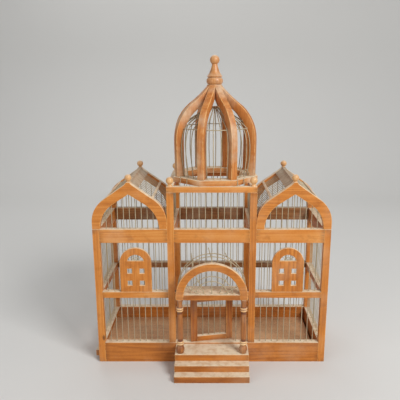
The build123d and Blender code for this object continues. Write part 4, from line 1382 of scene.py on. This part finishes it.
@dataclass
class Porch(Assembly):
    """Steps, columns, ceiling, arch, fanlight and wire vault of the porch."""

    step_edge: float = 1.2 * MM
    arch_edge: float = 1.5 * MM
    column_foot: Profile = ((0.0, 0.0), (7.6, 0.0), (8.2, 0.8), (8.2, 2.4))
    column_beads: tuple[tuple[float, float, float, int], ...] = (
        (6.9, 19.0, 2.3, 12),
        (6.5, 20.0, 0.0, 1),
        (6.5, 21.0, 0.0, 1),
        (6.5, 26.0, 2.0, 8),
        (6.3, 31.0, 1.7, 8),
        (6.2, 106.7, 0.5, 10),
        (6.5, 112.2, 2.1, 8),
        (6.5, 117.7, 2.3, 8),
        (7.1, 133.2, -0.7, 8),
    )
    column_head: Profile = ((7.8, 134.6), (7.8, 136.8), (6.5, 137.2), (0.0, 137.2))
    grooves: tuple[float, ...] = (21.0, 26.0, 31.0, 106.7, 112.2, 117.7)
    groove_half_width: float = 0.1
    # Painted shade: the grooves between the beads are darkened.
    groove_painted_shade: float = -0.6
    # Pale bands on the beads: painted highlights.
    highlit_beads: tuple[float, ...] = (21.4, 26.4, 107.3, 112.8)
    highlit_bead_width: float = 4.2
    bead_painted_highlight: float = 0.30
    # The bulb at the foot is darker: painted shade.
    bulb_height: float = 19.2
    bulb_painted_shade: float = -0.20
    column_stain: float = -0.18
    column_sides: int = 32
    column_turns: Pair = (0.0, 2.1)
    arch_centre_level: float = 193.0 * MM
    arch_inner_radius: float = 66.0 * MM
    arch_outer_radius: float = 84.0 * MM
    wire: WireStyle = WireStyle(1.1 * MM, 5 * MM)
    hoop_steps: int = 28
    fan_setback: float = 3.0 * MM
    fan_radii: Pair = (50.0 * MM, 38.0 * MM)
    fan_angles: tuple[float, ...] = (-67.0, -35.0, 0.0, 35.0, 67.0)
    fan_foot_spread: float = 29.0 * MM
    vault_radius: float = 80.0 * MM
    vault_stilt: float = 5.6 * MM
    vault_front_gap: float = 1.6 * MM
    vault_spacing: float = 21.0 * MM
    vault_seat: float = 2.0 * MM
    rod_angles: tuple[float, ...] = (-66.0, -34.0, 0.0, 34.0, 66.0)
    rod_seat: float = 3.0 * MM
    loose_rods: tuple[tuple[Pair, Pair], ...] = (
        ((-45.9, 57.9), (-49.0, 82.4)),
        ((2.8, 54.8), (-8.0, 95.3)),
        ((42.4, 57.9), (31.6, 82.4)),
    )

    def build(self) -> None:
        """Make and dress the porch."""
        for node in ("porch_bottom_step", "porch_middle_step", "porch_platform"):
            self.bench.board(node, radius=self.step_edge, stain=-0.14)
        self.bench.board("porch_ceiling", grain=Grain.ACROSS)
        # The lintel is 0.24 darker than its finish: painted shade under the arch.
        self.bench.board("porch_lintel", grain=Grain.ACROSS, stain=-0.24)
        self.bench.board("porch_arch", grain=Grain.ACROSS, radius=self.arch_edge, stain=-0.14)
        self._columns()
        self._fanlight()
        self._vault()

    def _columns(self) -> None:
        """Two turned columns with a bulb at the foot and two beads at each end of the shaft."""
        profile = list(self.column_foot)
        for radius, height, reach, steps in self.column_beads:
            profile += bead(profile[-1], (radius, height), reach, steps)
        # Bands: painted shade in the grooves, painted highlights on the beads and painted shade on
        # the bulb.
        half = self.groove_half_width
        bands = [(level - half, level + half, self.groove_painted_shade) for level in self.grooves]
        bands += [(z, z + self.highlit_bead_width, self.bead_painted_highlight) for z in self.highlit_beads]
        bands += [(0.0, self.bulb_height, self.bulb_painted_shade)]
        bands = [(low * MM, high * MM, stain) for low, high, stain in bands]
        profile = in_metres([*profile, *self.column_head])
        mesh = turned_mesh("column", profile, self.column_sides, self.column_stain, bands)
        low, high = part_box("porch_columns")
        reach = (self.arch_outer_radius + self.arch_inner_radius) / 2
        places = [(x, (low.y + high.y) / 2, low.z) for x in (-reach, reach)]
        self.bench.repeat("porch_columns", mesh, places, turns=self.column_turns)

    def _hoop(self, radius: float, level: float, depth: float, low: float = 0.0) -> list[Point]:
        """Hoop across a plane of the porch, whose feet end at a low angle in radians."""
        return upright(arc((0.0, level), radius, low, math.pi - low, self.hoop_steps), depth)

    def _fanlight(self) -> None:
        """Two hoops and five rays in the arch, which stand on the lintel."""
        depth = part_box("porch_arch")[1].y - self.fan_setback
        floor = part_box("porch_lintel")[1].z - 2 * WIRE_RADIUS
        level = self.arch_centre_level
        lines = [
            self._hoop(radius, level, depth, math.asin((floor - level) / radius))
            for radius in self.fan_radii
        ]
        reach = self.arch_inner_radius + 2 * WIRE_RADIUS
        for turn in map(math.radians, self.fan_angles):
            foot = (self.fan_foot_spread * math.sin(turn), floor)
            head = (reach * math.sin(turn), level + reach * math.cos(turn))
            lines.append(upright([foot, head], depth))
        self.bench.wire("porch_fanlight", lines, self.wire)

    def _vault(self) -> None:
        """Two hoops and five rods over the porch, and the loose ends of three old rods."""
        ceiling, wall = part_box("porch_ceiling")[1].z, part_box("front_board")[0].y
        arch_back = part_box("porch_arch")[1].y - self.rod_seat
        centre, foot = ceiling + self.vault_stilt, ceiling - self.vault_seat
        back = wall - self.vault_front_gap
        front = back - self.vault_spacing
        lines = []
        for depth in (back, front):
            hoop = self._hoop(self.vault_radius, centre, depth)
            lines.append([(hoop[0][0], depth, foot), *hoop, (hoop[-1][0], depth, foot)])
        rim = self.arch_outer_radius - self.rod_seat
        for turn in map(math.radians, self.rod_angles):
            across, up = math.sin(turn), math.cos(turn)
            x, z = self.vault_radius * across, centre + self.vault_radius * up
            start = (rim * across, arch_back, self.arch_centre_level + rim * up)
            lines.append([start, (x, front, z), (x, back + WIRE_RADIUS, z)])
        self.bench.wire("porch_vault", lines, self.wire)
        rods = [[(x, centre + z) for x, z in in_metres(rod)] for rod in self.loose_rods]
        ends = [upright(rod, back - 2 * WIRE_RADIUS) for rod in rods]
        self.bench.wire("vault_loose_ends", ends, self.wire)


@dataclass
class Door(Assembly):
    """The hinged door with its wires and pins."""

    edge: float = 0.9 * MM
    # The stiles are darker: partly stained darker, partly painted shade.
    stile_stain_and_shade: float = -0.2
    rail_stain: float = -0.12

    def build(self) -> None:
        """Make and dress the door."""
        door, upwards = Body.DOOR, Grain.UPRIGHT
        for node in ("door_hinge_stile", "door_free_stile"):
            self.bench.board(node, Slot.FRAME, door, upwards, self.edge, self.stile_stain_and_shade)
        self.bench.board("door_rails", body=door, radius=self.edge, stain=self.rail_stain)
        lines = [upright_line(low, high) for low, high in node_boxes("door_wires")]
        self.bench.wire("door_wires", lines, body=door)
        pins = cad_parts["door_pins"]
        pins.data.materials.clear()
        pins.data.materials.append(self.bench.finishes[Slot.PIN])
        log.info("door_pins: kept from the frame")


@dataclass
class Tray(Assembly):
    """The floor that slides out of the left end."""

    boards: tuple[tuple[str, Slot], ...] = (
        ("tray_pull", Slot.FRAME),
        ("tray_panel", Slot.PANEL),
        ("tray_runners", Slot.FRAME),
    )

    def build(self) -> None:
        """Make and dress the tray."""
        for node, slot in self.boards:
            self.bench.board(node, slot, Body.TRAY)


@dataclass
class Studio:
    """Pale floor and backdrop, soft lamps and the camera at the photograph's angle."""

    camera_place: Point = (0.002, -1.227, 0.6885)
    camera_tilt: float = 13.7
    camera_shift: float = -0.0315
    lens: float = 45.0
    sensor: float = 36.0
    lamps: tuple[tuple[str, Point, float, float], ...] = (
        ("key_lamp", (1.6, -1.9, 2.2), 1.1, 74.0),
        ("fill_lamp", (-2.2, -1.8, 1.3), 2.2, 15.0),
        ("back_lamp", (-0.4, 2.0, 2.2), 1.8, 18.0),
    )
    lamp_aim: Point = (0.0, 0.0, 0.3)
    sky_colour: Colour = srgb(235, 236, 238)
    sky_strength: float = 0.42
    seen_sky_strength: float = 0.3
    floor_colour: Colour = srgb(212, 211, 208)
    floor_shade: Colour = srgb(198, 197, 193)
    floor_roughness: float = 0.85
    cloud_scale: float = 3.0
    cloud_share: float = 0.12
    floor_front: float = -3.0
    floor_back: float = 1.6
    floor_half: float = 4.0
    cove_radius: float = 0.9
    cove_steps: int = 16
    wall_height: float = 3.2

    def build(self) -> None:
        """Make the stage, the lamps, the sky and the camera."""
        self._stage()
        for lamp in self.lamps:
            self._lamp(*lamp)
        world = bpy.data.worlds.new("studio")
        world.use_nodes = True
        graph = Graph(world.node_tree)
        seen = graph.node("ShaderNodeLightPath", {}, {}, "Is Camera Ray")
        strength = seen * self.seen_sky_strength + self.sky_strength
        inputs = {"Color": self.sky_colour, "Strength": strength}
        sky = graph.node("ShaderNodeBackground", {}, inputs)
        graph.node("ShaderNodeOutputWorld", {}, {"Surface": sky})
        bpy.context.scene.world = world
        bpy.context.scene.view_settings.view_transform = "Standard"
        self._camera()

    def _stage(self) -> None:
        """A floor that curves up into a backdrop."""
        centre = (self.floor_back, self.cove_radius)
        cove = arc(centre, self.cove_radius, -math.pi / 2, 0.0, self.cove_steps)
        line = [(self.floor_front, 0.0), *cove]
        line.append((self.floor_back + self.cove_radius, self.wall_height))
        corners = [(x, y, z) for y, z in line for x in (-self.floor_half, self.floor_half)]
        faces = [(2 * i, 2 * i + 1, 2 * i + 3, 2 * i + 2) for i in range(len(line) - 1)]
        mesh = bpy.data.meshes.new("stage")
        mesh.from_pydata(corners, [], faces)
        mesh.shade_smooth()
        material, graph = new_surface("stage")
        cloud = graph.noise(graph.place(), self.cloud_scale, detail=2.0) * self.cloud_share
        shade = graph.blend(cloud, self.floor_colour, self.floor_shade)
        graph.surface({"Base Color": shade, "Roughness": self.floor_roughness})
        mesh.materials.append(material)
        link("stage", mesh)

    def _lamp(self, name: str, place: Point, size: float, power: float) -> None:
        """Add one soft square lamp that faces the cage.

        Args:
            name: Name of the lamp.
            place: Place of the lamp.
            size: Length of its sides.
            power: Power in watts.
        """
        light = bpy.data.lights.new(name, "AREA")
        light.size = size
        light.energy = power
        lamp = link(name, light)
        lamp.location = place
        aim = Vector(self.lamp_aim) - Vector(place)
        lamp.rotation_euler = aim.to_track_quat("-Z", "Y").to_euler()

    def _camera(self) -> None:
        """Set the camera at the photograph's angle."""
        data = bpy.data.cameras.new("camera")
        data.lens = self.lens
        data.sensor_width = self.sensor
        data.shift_x = self.camera_shift
        camera = link("camera", data)
        camera.location = self.camera_place
        camera.rotation_euler = (math.radians(90 - self.camera_tilt), 0.0, 0.0)
        bpy.context.scene.camera = camera


def make_finishes() -> tuple[dict[Slot, Material], Material]:
    """Build the material of each slot, and the greyer one of old wood.

    Returns:
        The materials by slot, and the old wood.
    """
    frame_wood = WoodFinish(
        "stained_frame", srgb(142, 74, 22), srgb(204, 126, 50), srgb(232, 172, 98),
        knots=((-0.2665, -0.108, 0.0655),),
    )
    old_wood = replace(
        frame_wood,
        name="old_wood",
        deep=srgb(118, 74, 40),
        body=srgb(174, 122, 72),
        pale=srgb(206, 164, 116),
        dust=srgb(182, 164, 140),
        old_dust=srgb(146, 122, 98),
        dust_share=0.85,
        wash_share=0.4,
    )
    dome_wood = WoodFinish(
        "stained_dome", srgb(130, 68, 26), srgb(194, 120, 56), srgb(228, 178, 114),
        dust_share=0.9,
        dust_slopes=(0.86, 0.98),
        # Pale patches on the ribs: dust, and partly a painted highlight.
        wash_share=0.5,
    )
    turned_wood = WoodFinish(
        "turned_wood", srgb(112, 56, 22), srgb(192, 122, 58), srgb(228, 182, 124),
        dust_share=0.4,
        dust_slopes=(0.3, 1.0),
        wash_share=0.2,
        grime_and_shade_share=0.0,
        roughness=0.3,
        coat=0.45,
    )
    panel_wood = WoodFinish(
        "panel_wood", srgb(124, 80, 46), srgb(198, 140, 88), srgb(216, 170, 120),
        dust=srgb(206, 176, 140),
        dust_share=0.4,
        speckle=0.9,
        grime_and_shade_share=0.0,
    )
    cream, drab, rust = srgb(204, 190, 160), srgb(156, 140, 110), srgb(128, 84, 50)
    bright, dark, red = srgb(150, 146, 138), srgb(104, 98, 90), srgb(110, 72, 46)
    finishes = {
        Slot.FRAME: frame_wood,
        Slot.DOME: dome_wood,
        Slot.TURNED: turned_wood,
        Slot.PANEL: panel_wood,
        Slot.WIRE: WireFinish("dull_wire", cream, drab, rust),
        Slot.PIN: WireFinish("pin_steel", bright, dark, red, metallic=0.8),
    }
    return {slot: finish.material() for slot, finish in finishes.items()}, old_wood.material()


def main() -> None:
    """Dress the whole cage and set the stage."""
    logging.basicConfig(level=logging.INFO, format="%(name)s: %(message)s")
    bench = Bench(Joinery(), WireTree(), CopyTree(), *make_finishes())
    Studio().build()
    for part in (Carcass, Wings, Dome, Porch, Door, Tray):
        log.info("building %s", part.__name__)
        part(bench).build()


if __name__ == "__main__":
    main()
